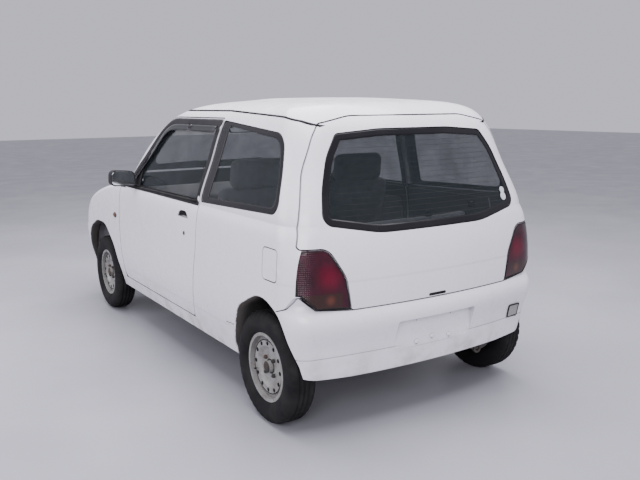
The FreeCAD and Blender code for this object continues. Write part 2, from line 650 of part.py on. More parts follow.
# Floor, bulkhead and wheel houses
floor_top = S.floor_height + S.floor_thickness
cargo_top = S.cargo_height + S.floor_thickness
front_floor = box(-S.floor_half, S.floor_half, S.bulkhead_y, S.floor_joint, S.floor_height,
                  floor_top)
boot_front = S.floor_joint + S.seam
boot_back = S.rear_panel_y - S.seam
boot_floor = prism([(boot_front, S.floor_height, 0), (880, S.floor_height, 30),
                    (980, S.cargo_height, 30), (boot_back, S.cargo_height, 0),
                    (boot_back, cargo_top, 0), (966, cargo_top, 30), (866, floor_top, 30),
                    (boot_front, floor_top, 0)], "X", -S.floor_half, S.floor_half)
wheel_house = box(S.well_inside, 900, REAR_AXLE - S.well_radius, REAR_AXLE + S.well_radius, 0, 900)
corner = box(S.floor_corner, 900, S.rear_panel_y - 35, 1900, 0, 900)
boot_floor = boot_floor.cut(both_sides(wheel_house)).cut(both_sides(corner))
boot_floor = solid_of(boot_floor.fuse(tow_lug))
add("floor_pan", Part.makeCompound([front_floor, boot_floor, solid_of(rear_panel)]))
well = tube(S.well_radius, S.well_radius - 4, Vector(S.well_inside, REAR_AXLE, S.arch_height),
            Vector(900, REAR_AXLE, S.arch_height))
well = well.fuse(cylinder(S.well_radius, Vector(S.well_inside, REAR_AXLE, S.arch_height),
                          Vector(S.well_inside + 4, REAR_AXLE, S.arch_height)))
well = solid_of(well.common(lower_inner).common(box(0, 900, 0, 1690, S.cargo_height, 900)))
apron = box(S.apron_half - 12, S.apron_half, -1425, S.bulkhead_y - 20, 262, 760)
hood_rest = lower_outer.translated(Z_AXIS * (-S.hood_thickness - S.seam))
buffer = cylinder(S.buffer_radius, Vector(S.apron_half - 6, -1300, 750),
                  Vector(S.apron_half - 6, -1300, 950)).common(hood_rest)
tower = box(S.apron_half, 600, FRONT_AXLE - 110, FRONT_AXLE + 110, S.strut_top, S.strut_top + 12)
apron = apron.fuse(tower).fuse(buffer)
add("wheel_houses", Part.makeCompound([both_sides(well), both_sides(apron)]))

# Cabin
seat_line = [(-110, 380, 30), (-110, floor_top, 20), (380, floor_top, 20), (420, 380, 60),
             (640, 1010, 60), (660, 1160, 50), (560, 1170, 50), (520, 1020, 80),
             (370, 560, 60), (-100, 520, 50)]
seat = prism(seat_line, "X", 100, 570)
add("front_seats", both_sides(seat))
bench_line = [(990, cargo_top, 20), (1290, cargo_top, 10), (1380, 900, 25), (1290, 925, 25),
              (1200, 560, 60), (880, 540, 50), (870, 480, 20)]
add("rear_seat", prism(bench_line, "X", -500, 500))
dash_line = [(S.bulkhead_y, 640, 0), (-420, 600, 40), (-330, 700, 40), (-330, 850, 40),
             (-450, 925, 40), (S.bulkhead_y, 905, 0)]
dashboard = prism(dash_line, "X", -S.post_inside, S.post_inside)
dash_node = add("dashboard", dashboard)

# Pieces made of plain primitives, whose sizes and places are bound to the sheet


def primitive(kind, name, place, turn=None, **sizes):
    """A primitive whose sizes and place are formulas on the sheet's cells."""
    made = doc.addObject("Part::" + kind, name)
    if turn:
        made.Placement = FreeCAD.Placement(ORIGIN, turn)
    for size, formula in sizes.items():
        made.setExpression(size, formula)
    for axis, formula in zip("xyz", place):
        made.setExpression(f"Placement.Base.{axis}", formula)
    return made


def joined(name, pieces):
    made = doc.addObject("Part::MultiFuse", name)
    made.Shapes = pieces
    return made


def keep(name, made):
    """Names a finished object as one piece of the car."""
    made.Label = name
    NODES.append(made)


keep("engine_block", primitive(
    "Box", "engine_box", ("-Sizes.engine_half", "-Sizes.engine_front", "Sizes.engine_bottom"),
    Length="2 * Sizes.engine_half", Width="Sizes.engine_length", Height="Sizes.engine_rise"))
keep("fuel_tank", primitive(
    "Box", "tank_box", ("-Sizes.tank_half", "Sizes.tank_front", "Sizes.tank_bottom"),
    Length="2 * Sizes.tank_half", Width="Sizes.tank_length",
    Height="Sizes.cargo_height - Sizes.tank_bottom"))

# Steering wheel with three spokes, its boss and its column
WHEEL_PLACE = ("Sizes.steer_x", "Sizes.steer_y", "Sizes.steer_z")


def down_column(length):
    """A place on the column, below the steering wheel's centre."""
    return ("Sizes.steer_x", f"Sizes.steer_y - {length} * sin(Sizes.steer_tilt * 1 deg)",
            f"Sizes.steer_z - {length} * cos(Sizes.steer_tilt * 1 deg)")


column_turn = FreeCAD.Rotation(X_AXIS, -S.steer_tilt)
steering = [
    primitive("Torus", "steering_rim", WHEEL_PLACE, column_turn, Radius1="Sizes.steer_radius",
              Radius2="Sizes.steer_grip"),
    primitive("Cylinder", "steering_boss", down_column("45"), column_turn, Radius="50",
              Height="40"),
    primitive("Cylinder", "steering_column", down_column("Sizes.column_length"), column_turn,
              Radius="Sizes.column_radius", Height="Sizes.column_length - 20"),
]
for turn in (90, 210, 330):
    spoke_turn = column_turn * FreeCAD.Rotation(Z_AXIS, turn) * FreeCAD.Rotation(Y_AXIS, 95)
    steering.append(primitive("Cylinder", f"steering_spoke_{turn}", WHEEL_PLACE, spoke_turn,
                              Radius="9", Height="Sizes.steer_radius"))
steering_wheel = doc.addObject("Part::Cut", "steering_cut")
steering_wheel.Base = joined("steering_joined", steering)
steering_wheel.Tool = dash_node
keep("steering_wheel", steering_wheel)

# Exhaust
muffler_height = S.cargo_height - 90
muffler = cylinder(70, Vector(-60, 1500, muffler_height), Vector(300, 1500, muffler_height))
hanger = box(100, 140, 1490, 1510, muffler_height, S.cargo_height)
pipe_route = [(-S.engine_front + S.engine_length, 300, 0), (-840, 300, 60), (-700, 180, 90),
              (1360, 180, 90), (1500, muffler_height, 0)]
pipe = pipe_along(pipe_route, 20)
pipe = pipe.fuse(box(-10, 10, 300, 320, 180, S.floor_height))
add("exhaust", solid_of(muffler.fuse(hanger).fuse(pipe)))

# Front suspension, fixed: cross member, lower arms and struts' seats
tilt = math.radians(S.kingpin_tilt)
ball = Vector(S.kingpin_foot, FRONT_AXLE, S.ball_height)
kingpin = Vector(-math.sin(tilt), 0, math.cos(tilt))
hub_height = S.tyre_radius
cross_member = box(-360, 360, FRONT_AXLE - 40, FRONT_AXLE + 40, 200, 262)
arm = cylinder(14, Vector(350, FRONT_AXLE, 222), ball - kingpin * 26)
arm = arm.fuse(cylinder(13, ball - kingpin * 26, ball))
aprons_foot = box(S.apron_half - 60, S.apron_half, FRONT_AXLE - 40, FRONT_AXLE + 40, 236, 262)
front_frame = cross_member.fuse(arm).fuse(mirrored(arm)).fuse(both_sides(aprons_foot))
add("front_suspension", front_frame)

# Knuckles with their struts
knuckle_centre = ball + kingpin * ((hub_height - S.ball_height) / math.cos(tilt))
foot = cylinder(13, ball + kingpin * S.seam, knuckle_centre + kingpin * 40)
spindle = cylinder(S.spindle_radius, Vector(knuckle_centre.x, FRONT_AXLE, hub_height),
                   Vector(S.front_track / 2 + 46, FRONT_AXLE, hub_height))
carrier = box(knuckle_centre.x - 60, knuckle_centre.x + 10, FRONT_AXLE - 28, FRONT_AXLE + 28,
              hub_height - 40, hub_height + 110)
strut_foot = Vector(535, FRONT_AXLE, 350)
strut_radius = 11.0
strut_head = ball + kingpin * ((S.strut_top - S.seam - strut_radius - S.ball_height) / math.cos(tilt))
strut = cylinder(24, strut_foot, strut_foot + (strut_head - strut_foot) * 0.6)
strut = strut.fuse(cylinder(strut_radius, strut_foot, strut_head))
strut = strut.fuse(Part.makeSphere(strut_radius, strut_head))
knuckle = solid_of(foot.fuse(spindle).fuse(carrier).fuse(strut))
add("knuckle_left", knuckle)
add("knuckle_right", mirrored(knuckle))

# Rear axle: beam with its spindles, and on each side a back plate, a spring and a trailing arm
along_x = FreeCAD.Rotation(Y_AXIS, 90)
AXLE_Y = "(Sizes.body_length / 2 - Sizes.rear_overhang)"
axle_pieces = [
    primitive("Cylinder", "axle_beam",
              ("Sizes.axle_cut - Sizes.rear_track / 2", AXLE_Y, "Sizes.tyre_radius"), along_x,
              Radius="Sizes.axle_radius", Height="Sizes.rear_track - 2 * Sizes.axle_cut"),
    primitive("Cylinder", "axle_spindles",
              ("-Sizes.rear_track / 2 - 46", AXLE_Y, "Sizes.tyre_radius"), along_x,
              Radius="Sizes.spindle_radius", Height="Sizes.rear_track + 92"),
]
for side, sign in (("left", 1), ("right", -1)):
    plate_x = f"{sign} * (Sizes.rear_track / 2 - Sizes.axle_cut)"
    arm_x = f"{sign} * Sizes.arm_place"
    if sign < 0:
        plate_x += " - Sizes.backplate_thickness"
        arm_x += " - Sizes.arm_width"
    axle_pieces += [
        primitive("Cylinder", f"back_plate_{side}", (plate_x, AXLE_Y, "Sizes.tyre_radius"),
                  along_x, Radius="Sizes.backplate_radius", Height="Sizes.backplate_thickness"),
        primitive("Cylinder", f"spring_{side}",
                  (f"{sign} * Sizes.spring_place", AXLE_Y, "Sizes.tyre_radius"),
                  Radius="Sizes.spring_radius", Height="Sizes.cargo_height - Sizes.tyre_radius"),
        primitive("Box", f"trailing_arm_{side}",
                  (arm_x, "Sizes.arm_pivot", "Sizes.tyre_radius - Sizes.arm_width / 2"),
                  Length="Sizes.arm_width", Width=f"{AXLE_Y} - Sizes.arm_pivot",
                  Height="Sizes.arm_width"),
        primitive("Box", f"trailing_foot_{side}",
                  (arm_x, "Sizes.arm_pivot", "Sizes.tyre_radius - Sizes.arm_width / 2"),
                  Length="Sizes.arm_width", Width="Sizes.arm_width",
                  Height="Sizes.cargo_height - Sizes.tyre_radius + Sizes.arm_width / 2"),
    ]
keep("rear_axle", joined("axle_joined", axle_pieces))


def revolved(profile, centre):
    """A profile of (offset along the axle, radius) points, turned about the wheel's axle."""
    points = [centre + Vector(offset, 0, radius) for offset, radius in profile]
    face = Part.Face(Part.makePolygon(points + points[:1]))
    return face.revolve(centre, X_AXIS, 360)


def tyre_at(centre):
    half = S.tyre_width / 2
    crown = S.tyre_radius
    seat = S.flange_radius + S.seam
    profile = [(-half, seat), (-half, crown - S.tyre_shoulder), (-half + S.tyre_shoulder, crown),
               (half - S.tyre_shoulder, crown), (half, crown - S.tyre_shoulder), (half, seat)]
    return revolved(profile, centre)


def rim_at(centre, brake):
    """Steel wheel, outer side towards +X, with a ring of round holes, its hub and its brake."""
    half = S.rim_width / 2
    metal = S.rim_metal
    seat = S.bead_radius
    well_radius = seat - 20
    barrel = revolved([
        (-half, S.flange_radius), (-half, seat - metal), (-26, seat - metal),
        (-26, well_radius - metal), (28, well_radius - metal), (28, seat - metal),
        (half, seat - metal), (half, S.flange_radius), (half - 5.8, S.flange_radius),
        (half - 5.8, seat), (24, seat), (24, well_radius), (-22, well_radius), (-22, seat),
        (-half + 5.8, seat), (-half + 5.8, S.flange_radius)], centre)
    face = S.disc_offset
    lip = well_radius - metal + 0.5
    disc = revolved([(12, lip), (face - 3, lip), (face, lip - 3), (face, 97), (26, 82), (26, 20),
                     (22, 20), (22, 84), (face - metal, 100), (face - metal, lip - 5),
                     (12, lip - 5)], centre)
    for index in range(12):
        angle = math.radians(30 * index)
        hole_centre = centre + Vector(0, math.cos(angle), math.sin(angle)) * S.hole_circle
        disc = disc.cut(cylinder(S.hole_radius, hole_centre, hole_centre + X_AXIS * 60))
    bore = S.spindle_radius + S.bearing_play
    hub = revolved([(-brake, bore), (-brake, 100), (-6, 100), (-6, S.hub_radius),
                    (26, S.hub_radius), (26, 28), (46, 28), (46, bore)], centre)
    return solid_of(barrel.fuse(disc).fuse(hub))


# name, half track, axle, how far the disc or drum brake reaches inboard
WHEELS = [
    ("front", S.front_track / 2, FRONT_AXLE, 16),
    ("rear", S.rear_track / 2, REAR_AXLE, 62),
]
for corner, x, y, brake in WHEELS:
    middle = Vector(x, y, hub_height)
    tyre = tyre_at(middle)
    rim = rim_at(middle, brake)
    add(f"tyre_{corner}_left", tyre)
    add(f"rim_{corner}_left", rim)
    add(f"tyre_{corner}_right", mirrored(tyre))
    add(f"rim_{corner}_right", mirrored(rim))

doc.recompute()
os.makedirs("parts", exist_ok=True)
for piece in doc.Objects:
    if "Invalid" in piece.State or "Error" in piece.State:
        raise RuntimeError(f"{piece.Label} failed")
for piece in NODES:
    if piece.Shape.isNull() or not piece.Shape.isValid():
        raise RuntimeError(f"{piece.Label} isn't a valid solid")
    print(piece.Label, len(piece.Shape.Solids), round(piece.Shape.Volume / 1e6, 3),
          len(piece.Shape.Faces))
for piece in NODES:
    piece.Shape.exportStep(f"parts/{piece.Label}.step")
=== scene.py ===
import math

import bmesh
import bpy
from mathutils import Matrix, Vector
from mathutils.bvhtree import BVHTree


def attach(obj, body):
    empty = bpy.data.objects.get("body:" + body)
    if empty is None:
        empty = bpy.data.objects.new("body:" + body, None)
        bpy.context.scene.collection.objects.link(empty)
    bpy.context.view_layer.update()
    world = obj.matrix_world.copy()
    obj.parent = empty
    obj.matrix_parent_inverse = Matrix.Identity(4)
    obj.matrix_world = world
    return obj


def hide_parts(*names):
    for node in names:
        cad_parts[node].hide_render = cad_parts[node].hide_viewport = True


# Looks of the small three-door hatchback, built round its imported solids.
# The scene, its materials and rod are in metres; the tables and the other calls in millimetres.
# +Z up, +Y towards the rear, +X towards the car's left side.
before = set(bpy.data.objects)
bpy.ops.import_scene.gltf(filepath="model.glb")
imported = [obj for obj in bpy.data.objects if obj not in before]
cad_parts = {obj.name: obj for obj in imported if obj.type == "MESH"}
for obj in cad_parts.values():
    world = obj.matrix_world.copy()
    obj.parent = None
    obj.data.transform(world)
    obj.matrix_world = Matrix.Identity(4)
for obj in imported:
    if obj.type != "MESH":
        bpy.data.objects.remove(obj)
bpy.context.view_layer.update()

scene = bpy.context.scene
MM = 0.001
SIDES = (("left", 1.0), ("right", -1.0))
REAR_AXLE, FRONT_AXLE = 1.302, -1.038
CABIN_MIDDLE = (0.0, 0.25, 0.80)
# Tangent of half a corner's angle above which the corner is straight
NEARLY_STRAIGHT = 500
# Sine of a direction's angle to the vertical below which it counts as upright
UPRIGHT = 0.05
ARC_STEPS = 6
# Where rays along the car start, clear of its ends
RAY_START = 2.2
# Turn between two faces, in radians, from which their edge is softened
SHARP_EDGE = 0.6

# Outlines of the body's openings and a line over the doors, (y, z, corner radius), as in the solids
DOOR_WINDOW = [(-440, 945, 8), (-18, 1332, 250), (642, 1332, 14), (598, 956, 8)]
DOOR_SASH = [(-505, 928, 5), (-23, 1369, 298), (690, 1369, 10), (634, 931, 5)]
QUARTER_WINDOW = [(700, 1366, 18), (652, 952, 18), (1448, 978, 45), (1346, 1316, 110)]
QUARTER_CLEAR = [(790, 1338, 14), (744, 984, 14), (1404, 1004, 36), (1318, 1288, 90)]
DRIP_LINE = [(-60, 1386), (60, 1412), (700, 1412), (1184, 1391), (1280, 1386), (1383, 1369),
             (1448, 1348)]
REAR_ARCH = [(1022, 246, 1), (1000, 296, 40), (1110, 520, 130), (1338, 632, 200),
             (1530, 545, 150), (1570, 340, 60), (1570, 290, 1)]
FRONT_ARCH = [(-700, 318, 1), (-706, 350, 20), (-765, 510, 150), (-930, 640, 180),
              (-1120, 640, 260), (-1310, 565, 180), (-1366, 420, 60), (-1370, 300, 1)]
HANDLE_RECESS = [(390, 855, 2), (527, 855, 2), (526, 860, 3), (500, 885, 30), (417, 885, 30),
                 (391, 860, 3)]
# (x, z, corner radius) from behind or from the front
HATCH_GLASS_HALF = [(300, 893, 500), (574, 943, 50), (545, 1080, 500), (492, 1225, 300),
                    (428, 1318, 35), (200, 1335, 600)]
HATCH_GLASS = HATCH_GLASS_HALF + [(-x, z, r) for x, z, r in reversed(HATCH_GLASS_HALF)]
WINDSCREEN = [(571, 1021, 20), (469, 1382, 50), (-469, 1382, 50), (-571, 1021, 20)]
WINDSCREEN_CLEAR = [(534, 1062, 40), (436, 1342, 50), (-436, 1342, 50), (-534, 1062, 40)]
LAMP = [(466, 584, 6), (489, 722, 145), (564, 846, 66), (704, 848, 6), (704, 657, 8),
        (690, 657, 10), (622, 594, 12)]


class Surface:
    """A procedural material: a Principled shader and the nodes that feed it."""

    def __init__(self, name, colour, rough, metal=0.0):
        self.material = bpy.data.materials.new(name)
        self.material.use_nodes = True
        self.tree = self.material.node_tree
        self.shader = self.tree.nodes["Principled BSDF"]
        self.set(Base_Color=colour, Roughness=rough, Metallic=metal)
        coordinates = self.node("ShaderNodeTexCoord")
        self.place = coordinates.outputs["Object"]
        self.normal = coordinates.outputs["Normal"]

    def put(self, socket, value):
        if isinstance(value, bpy.types.NodeSocket):
            self.tree.links.new(value, socket)
        elif socket.type == "RGBA":
            socket.default_value = (*value, 1)
        else:
            socket.default_value = value

    def feed(self, made, **inputs):
        """Values or sockets for a node's inputs, by their names."""
        for name, value in inputs.items():
            self.put(made.inputs[name.replace("_", " ")], value)
        return made.outputs[0]

    def set(self, **inputs):
        self.feed(self.shader, **inputs)

    def node(self, kind, *values, **settings):
        made = self.tree.nodes.new(kind)
        for name, value in settings.items():
            setattr(made, name, value)
        for index, value in enumerate(values):
            if value is not None:
                self.put(made.inputs[index], value)
        return made

    def math(self, operation, *values):
        return self.node("ShaderNodeMath", *values, operation=operation).outputs[0]

    def times(self, first, second):
        return self.math("MULTIPLY", first, second)

    def noise(self, scale, detail=3.0, stretch=(1, 1, 1), rough=0.5):
        spread = self.feed(self.node("ShaderNodeMapping"), Vector=self.place, Scale=stretch)
        return self.feed(self.node("ShaderNodeTexNoise"), Vector=spread, Scale=scale,
                         Detail=detail, Roughness=rough)

    def ramp(self, value, low, high, start=0.0, end=1.0):
        """value mapped from low..high to start..end, and held there."""
        made = self.node("ShaderNodeMapRange", value, low, high, start, end)
        made.interpolation_type = "SMOOTHSTEP"
        return made.outputs[0]

    def mix(self, share, first, second):
        made = self.node("ShaderNodeMix", data_type="RGBA")
        self.put(made.inputs[0], share)
        self.put(made.inputs[6], first)
        self.put(made.inputs[7], second)
        return made.outputs[2]

    def axis(self, index):
        return self.node("ShaderNodeSeparateXYZ", self.place).outputs[index]

    def bump(self, height, strength, distance):
        self.set(Normal=self.feed(self.node("ShaderNodeBump"), Strength=strength,
                                  Distance=distance, Height=height))

    def near(self, point, radius, place=None):
        """1 at a point, 0 beyond the radius."""
        gap = self.node("ShaderNodeVectorMath", place or self.place, point, operation="DISTANCE")
        return self.ramp(gap.outputs["Value"], 0.0, radius, 1.0, 0.0)


def plain(name, colour, other, rough, metal=0.0, grain=60.0, bump=0.15, depth=0.0004, shine=0.5):
    """A material whose colour and gloss vary over it, with a fine grain."""
    made = Surface(name, colour, rough, metal)
    patches, fine = made.noise(grain / 12, 4.0), made.noise(grain * 6, 2.0)
    made.set(Base_Color=made.mix(made.ramp(patches, 0.35, 0.7), colour, other),
             Roughness=made.ramp(made.noise(grain / 4, 3.0), 0.3, 0.7, rough - 0.06, rough + 0.06),
             Specular_IOR_Level=shine)
    made.bump(fine, bump, depth)
    return made.material


def paint(name, inside=(0.075, 0.075, 0.082)):
    """White enamel, a little lilac, with dirt low down, painted shade in recesses and seams, faint creases
    and darker inner sides.
    """
    made = Surface(name, (0.86, 0.84, 0.89), 0.3)
    height, along = made.axis(2), made.axis(1)
    cloud = made.ramp(made.noise(1.6, 3.0), 0.3, 0.7)
    colour = made.mix(cloud, (0.87, 0.85, 0.905), (0.83, 0.815, 0.87))
    grime = made.times(made.ramp(height, 0.24, 0.44, 1.0, 0.0), made.ramp(made.noise(9, 6.0), 0.42, 0.72))
    colour = made.mix(made.times(grime, 0.6), colour, (0.40, 0.35, 0.30))
    streaks = made.times(made.ramp(made.noise(26, 5.0, (1, 1, 0.08)), 0.58, 0.80),
                         made.ramp(height, 0.3, 0.8, 0.14, 0.03))
    colour = made.mix(streaks, colour, (0.46, 0.43, 0.42))
    specks = made.times(made.ramp(made.noise(190, 2.0), 0.70, 0.74), made.ramp(height, 0.3, 0.7, 0.7, 0.15))
    colour = made.mix(specks, colour, (0.20, 0.12, 0.07))
    rough = made.ramp(made.noise(14, 4.0), 0.3, 0.75, 0.24, 0.36)
    rough = made.math("ADD", rough, made.times(grime, 0.35))
    # Painted shade: the colour darkens where ambient occlusion finds recesses and seams, standing in for the
    # shadow inside them.
    hollow = made.node("ShaderNodeAmbientOcclusion", samples=4)
    made.feed(hollow, Distance=0.07)
    cavity_shade = made.ramp(hollow.outputs["AO"], 0.35, 0.92, 0.62, 0.0)
    colour = made.mix(cavity_shade, colour, (0.30, 0.28, 0.30))
    made.set(Coat_Weight=0.35, Coat_Roughness=0.12)
    if inside:
        outward = made.node("ShaderNodeVectorMath", made.place, CABIN_MIDDLE,
                            operation="SUBTRACT").outputs[0]
        facing = made.node("ShaderNodeVectorMath", made.normal, outward,
                           operation="DOT_PRODUCT").outputs["Value"]
        hidden = made.ramp(facing, -0.06, -0.03, 1.0, 0.0)
        upward = made.node("ShaderNodeSeparateXYZ", made.normal).outputs[2]
        ledge = made.times(made.ramp(upward, 0.6, 0.7),
                           made.ramp(made.math("ABSOLUTE", made.axis(0)), 0.700, 0.712, 1.0, 0.0))
        levels = made.times(made.ramp(height, 0.84, 0.86), made.ramp(height, 1.00, 1.02, 1.0, 0.0))
        within = made.times(made.ramp(along, -0.55, -0.52), made.ramp(along, 1.66, 1.68, 1.0, 0.0))
        ledge = made.times(ledge, made.times(levels, within))
        hidden = made.math("MAXIMUM", hidden, ledge)
        colour = made.mix(hidden, colour, inside)
        rough = made.math("ADD", rough, made.times(hidden, 0.4))
    made.set(Base_Color=colour, Roughness=made.math("MINIMUM", rough, 0.9))
    dents = made.times(made.near((0.70, 1.49, 0.74), 0.13), made.ramp(made.noise(16, 3.0), 0.35, 0.65))
    waves = made.times(made.noise(3.0, 2.0), 0.10)
    tail = made.ramp(along, 1.40, 1.46)
    hatch_crease = made.times(made.ramp(height, 0.694, 0.708, 0.0, 0.5), tail)
    door_crease = made.times(made.ramp(height, 0.376, 0.390, 0.0, 0.4), made.ramp(along, 1.0, 1.1, 1.0, 0.0))
    relief = made.math("ADD", made.math("ADD", dents, waves), made.math("ADD", hatch_crease, door_crease))
    made.bump(relief, 0.5, 0.006)
    return made.material


def arch_lip(name):
    """The rolled edge of a wheel arch: enamel with rust spots."""
    made = Surface(name, (0.7, 0.68, 0.7), 0.5)
    rust = made.ramp(made.noise(38, 6.0, rough=0.7), 0.50, 0.60)
    colour = made.mix(rust, (0.62, 0.60, 0.62), (0.13, 0.065, 0.035))
    made.set(Base_Color=colour, Roughness=made.ramp(rust, 0, 1, 0.4, 0.85))
    made.bump(made.noise(150, 3.0), 0.5, 0.0008)
    return made.material


def clear(name, colour, alpha):
    """Glass or clear plastic with a faint film on it."""
    made = Surface(name, colour, 0.03)
    film = made.ramp(made.noise(7, 5.0), 0.35, 0.75, alpha, alpha + 0.10)
    made.set(Alpha=film, Roughness=made.ramp(made.noise(20, 4.0), 0.4, 0.8, 0.02, 0.10))
    made.material.surface_render_method = "BLENDED"
    return made.material


def tail_lens(name):
    """Tail lamp: dark red, a painted reflection as a brighter field in its middle, amber-brown low down with
    a smaller painted reflection, ribs outside.
    """
    made = Surface(name, (0.08, 0.003, 0.008), 0.12)
    side = made.math("ABSOLUTE", made.axis(0))
    height = made.axis(2)
    cloud = made.ramp(made.noise(14, 3.0), 0.3, 0.7)
    colour = made.mix(cloud, (0.022, 0.001, 0.006), (0.046, 0.002, 0.012))
    flat = made.node("ShaderNodeCombineXYZ", side, 0.0, height).outputs[0]
    # Painted reflection: a brighter red field round a point in the middle of the lens.
    middle_reflection = made.times(made.near((0.565, 0, 0.725), 0.085, flat), 0.60)
    colour = made.mix(middle_reflection, colour, (0.17, 0.003, 0.022))
    band = made.times(made.ramp(height, 0.656, 0.664, 1.0, 0.0), made.ramp(side, 0.500, 0.512))
    colour = made.mix(band, colour, (0.030, 0.010, 0.008))
    # Painted reflection: a lighter spot in the amber-brown band.
    low_reflection = made.times(made.near((0.560, 0, 0.630), 0.032, flat), band)
    colour = made.mix(low_reflection, colour, (0.10, 0.028, 0.016))
    made.set(Base_Color=colour, Coat_Weight=0.25, Coat_Roughness=0.05, Roughness=0.2,
             Specular_IOR_Level=0.3)
    ribs = made.math("SINE", made.times(height, 2 * math.pi / 0.0085))
    outer = made.times(ribs, made.ramp(side, 0.60, 0.63))
    squares = made.times(made.math("SINE", made.times(side, 2 * math.pi / 0.007)), 0.25)
    made.bump(made.math("ADD", outer, squares), 0.6, 0.0012)
    return made.material


def cloth(name, colour, other):
    """Woven seat cover."""
    made = Surface(name, colour, 0.9)
    weave = made.node("ShaderNodeTexWave", wave_type="BANDS", bands_direction="DIAGONAL")
    made.feed(weave, Vector=made.place, Scale=260)
    patches = made.ramp(made.noise(30, 4.0), 0.4, 0.65)
    thread = made.times(weave.outputs["Fac"], 0.5)
    made.set(Base_Color=made.mix(made.math("ADD", thread, made.times(patches, 0.5)), colour, other),
             Sheen_Weight=0.35, Sheen_Roughness=0.5)
    made.bump(weave.outputs["Fac"], 0.4, 0.0006)
    return made.material


def wheel_enamel(name):
    """Silver-grey wheel enamel, beige towards the flange, with brown rust in the corners."""
    made = Surface(name, (0.42, 0.42, 0.41), 0.45)
    cloud = made.ramp(made.noise(24, 5.0), 0.35, 0.7)
    colour = made.mix(cloud, (0.30, 0.295, 0.285), (0.22, 0.21, 0.195))
    rust = made.ramp(made.noise(42, 7.0, rough=0.75), 0.585, 0.66)
    colour = made.mix(made.times(rust, 0.8), colour, (0.15, 0.085, 0.05))
    made.set(Base_Color=colour, Metallic=0.25, Roughness=made.ramp(rust, 0, 1, 0.42, 0.8))
    made.bump(made.noise(160, 3.0), 0.2, 0.0005)
    return made.material


PAINT = paint("body_enamel")
PANEL_PAINT = paint("panel_enamel", inside=None)
ROOF_PAINT = paint("roof_enamel", inside=(0.30, 0.295, 0.29))
LIP = arch_lip("arch_lip")
GLASS = clear("window_glass", (0.016, 0.024, 0.028), 0.26)
VISOR = clear("smoked_plastic", (0.012, 0.012, 0.015), 0.80)
BLACK = plain("black_plastic", (0.008, 0.008, 0.010), (0.018, 0.017, 0.019), 0.55, shine=0.28)
GLOSS_BLACK = plain("black_enamel", (0.006, 0.006, 0.008), (0.012, 0.011, 0.013), 0.22, grain=30,
                    bump=0.05, shine=0.30)
SEAL = plain("seal_rubber", (0.008, 0.008, 0.009), (0.020, 0.019, 0.018), 0.75, grain=120,
             shine=0.22)
TRIM = plain("cabin_plastic", (0.075, 0.075, 0.082), (0.10, 0.10, 0.105), 0.62, grain=110, bump=0.35)
LINER = plain("roof_lining", (0.33, 0.325, 0.32), (0.27, 0.265, 0.26), 0.9, grain=140, bump=0.4)
CHASSIS = plain("underbody", (0.030, 0.029, 0.028), (0.075, 0.060, 0.048), 0.75, grain=50, bump=0.4,
                depth=0.001)
STEEL = plain("bare_steel", (0.32, 0.31, 0.30), (0.20, 0.16, 0.13), 0.42, metal=0.85)
CAST = plain("cast_alloy", (0.30, 0.30, 0.30), (0.20, 0.19, 0.18), 0.55, metal=0.7, grain=80,
             bump=0.5, depth=0.001)
RUSTY = plain("rusted_hub", (0.032, 0.030, 0.029), (0.085, 0.056, 0.040), 0.7, metal=0.3, grain=140,
              bump=0.5)
CHROME = plain("bright_metal", (0.75, 0.75, 0.76), (0.62, 0.62, 0.63), 0.12, metal=1.0, grain=30,
               bump=0.04)
RUBBER = plain("tyre_rubber", (0.007, 0.007, 0.008), (0.018, 0.017, 0.017), 0.82, grain=90,
               bump=0.25, shine=0.22)
WHEEL = wheel_enamel("wheel_enamel")
PALE = plain("pale_plastic", (0.36, 0.36, 0.35), (0.28, 0.275, 0.27), 0.85, grain=160, bump=0.4)
LINES = plain("heater_lines", (0.07, 0.055, 0.05), (0.05, 0.04, 0.038), 0.5, bump=0.05)
LENS = tail_lens("tail_lens")
CLEAR = clear("clear_lens", (0.55, 0.57, 0.58), 0.35)
AMBER = plain("amber_lens", (0.55, 0.20, 0.03), (0.42, 0.13, 0.02), 0.18, grain=40)
DARK_LENS = plain("marker_lens", (0.05, 0.022, 0.012), (0.09, 0.035, 0.016), 0.2)
GREY_LENS = plain("reverse_lens", (0.33, 0.33, 0.31), (0.22, 0.22, 0.21), 0.25, bump=0.5)
SEAT = cloth("seat_cloth", (0.055, 0.056, 0.064), (0.10, 0.10, 0.112))
SEAT_BACK = cloth("seat_back_cloth", (0.11, 0.11, 0.12), (0.16, 0.16, 0.17))
PAPER = plain("sticker", (0.62, 0.63, 0.66), (0.45, 0.44, 0.60), 0.5, bump=0.05)
MIRROR = plain("mirror_glass", (0.78, 0.80, 0.82), (0.70, 0.72, 0.74), 0.03, metal=1.0, grain=20,
               bump=0.0)

# Looks of the pieces: a material and the slot that it fills
BLACK_TRIM = (BLACK, "black_plastic")
BRIGHT = (MIRROR, "black_plastic")
MOULDING = (SEAL, "black_plastic")
RUBBER_SEAL = (SEAL, "rubber")
CABIN = (TRIM, "cabin_plastic")
CABIN_BLACK = (BLACK, "cabin_plastic")
UNDERBODY = (CHASSIS, "chassis_paint")
MACHINE_BLACK = (BLACK, "engine_metal")
ALLOY = (CAST, "engine_metal")
BLACK_BORDER = (GLOSS_BLACK, "glass")
RUSTY_HUB = (RUSTY, "wheel_paint")
# Dark rubber look, used for painted shade on the wheel discs
WHEEL_SHADE = (SEAL, "wheel_paint")

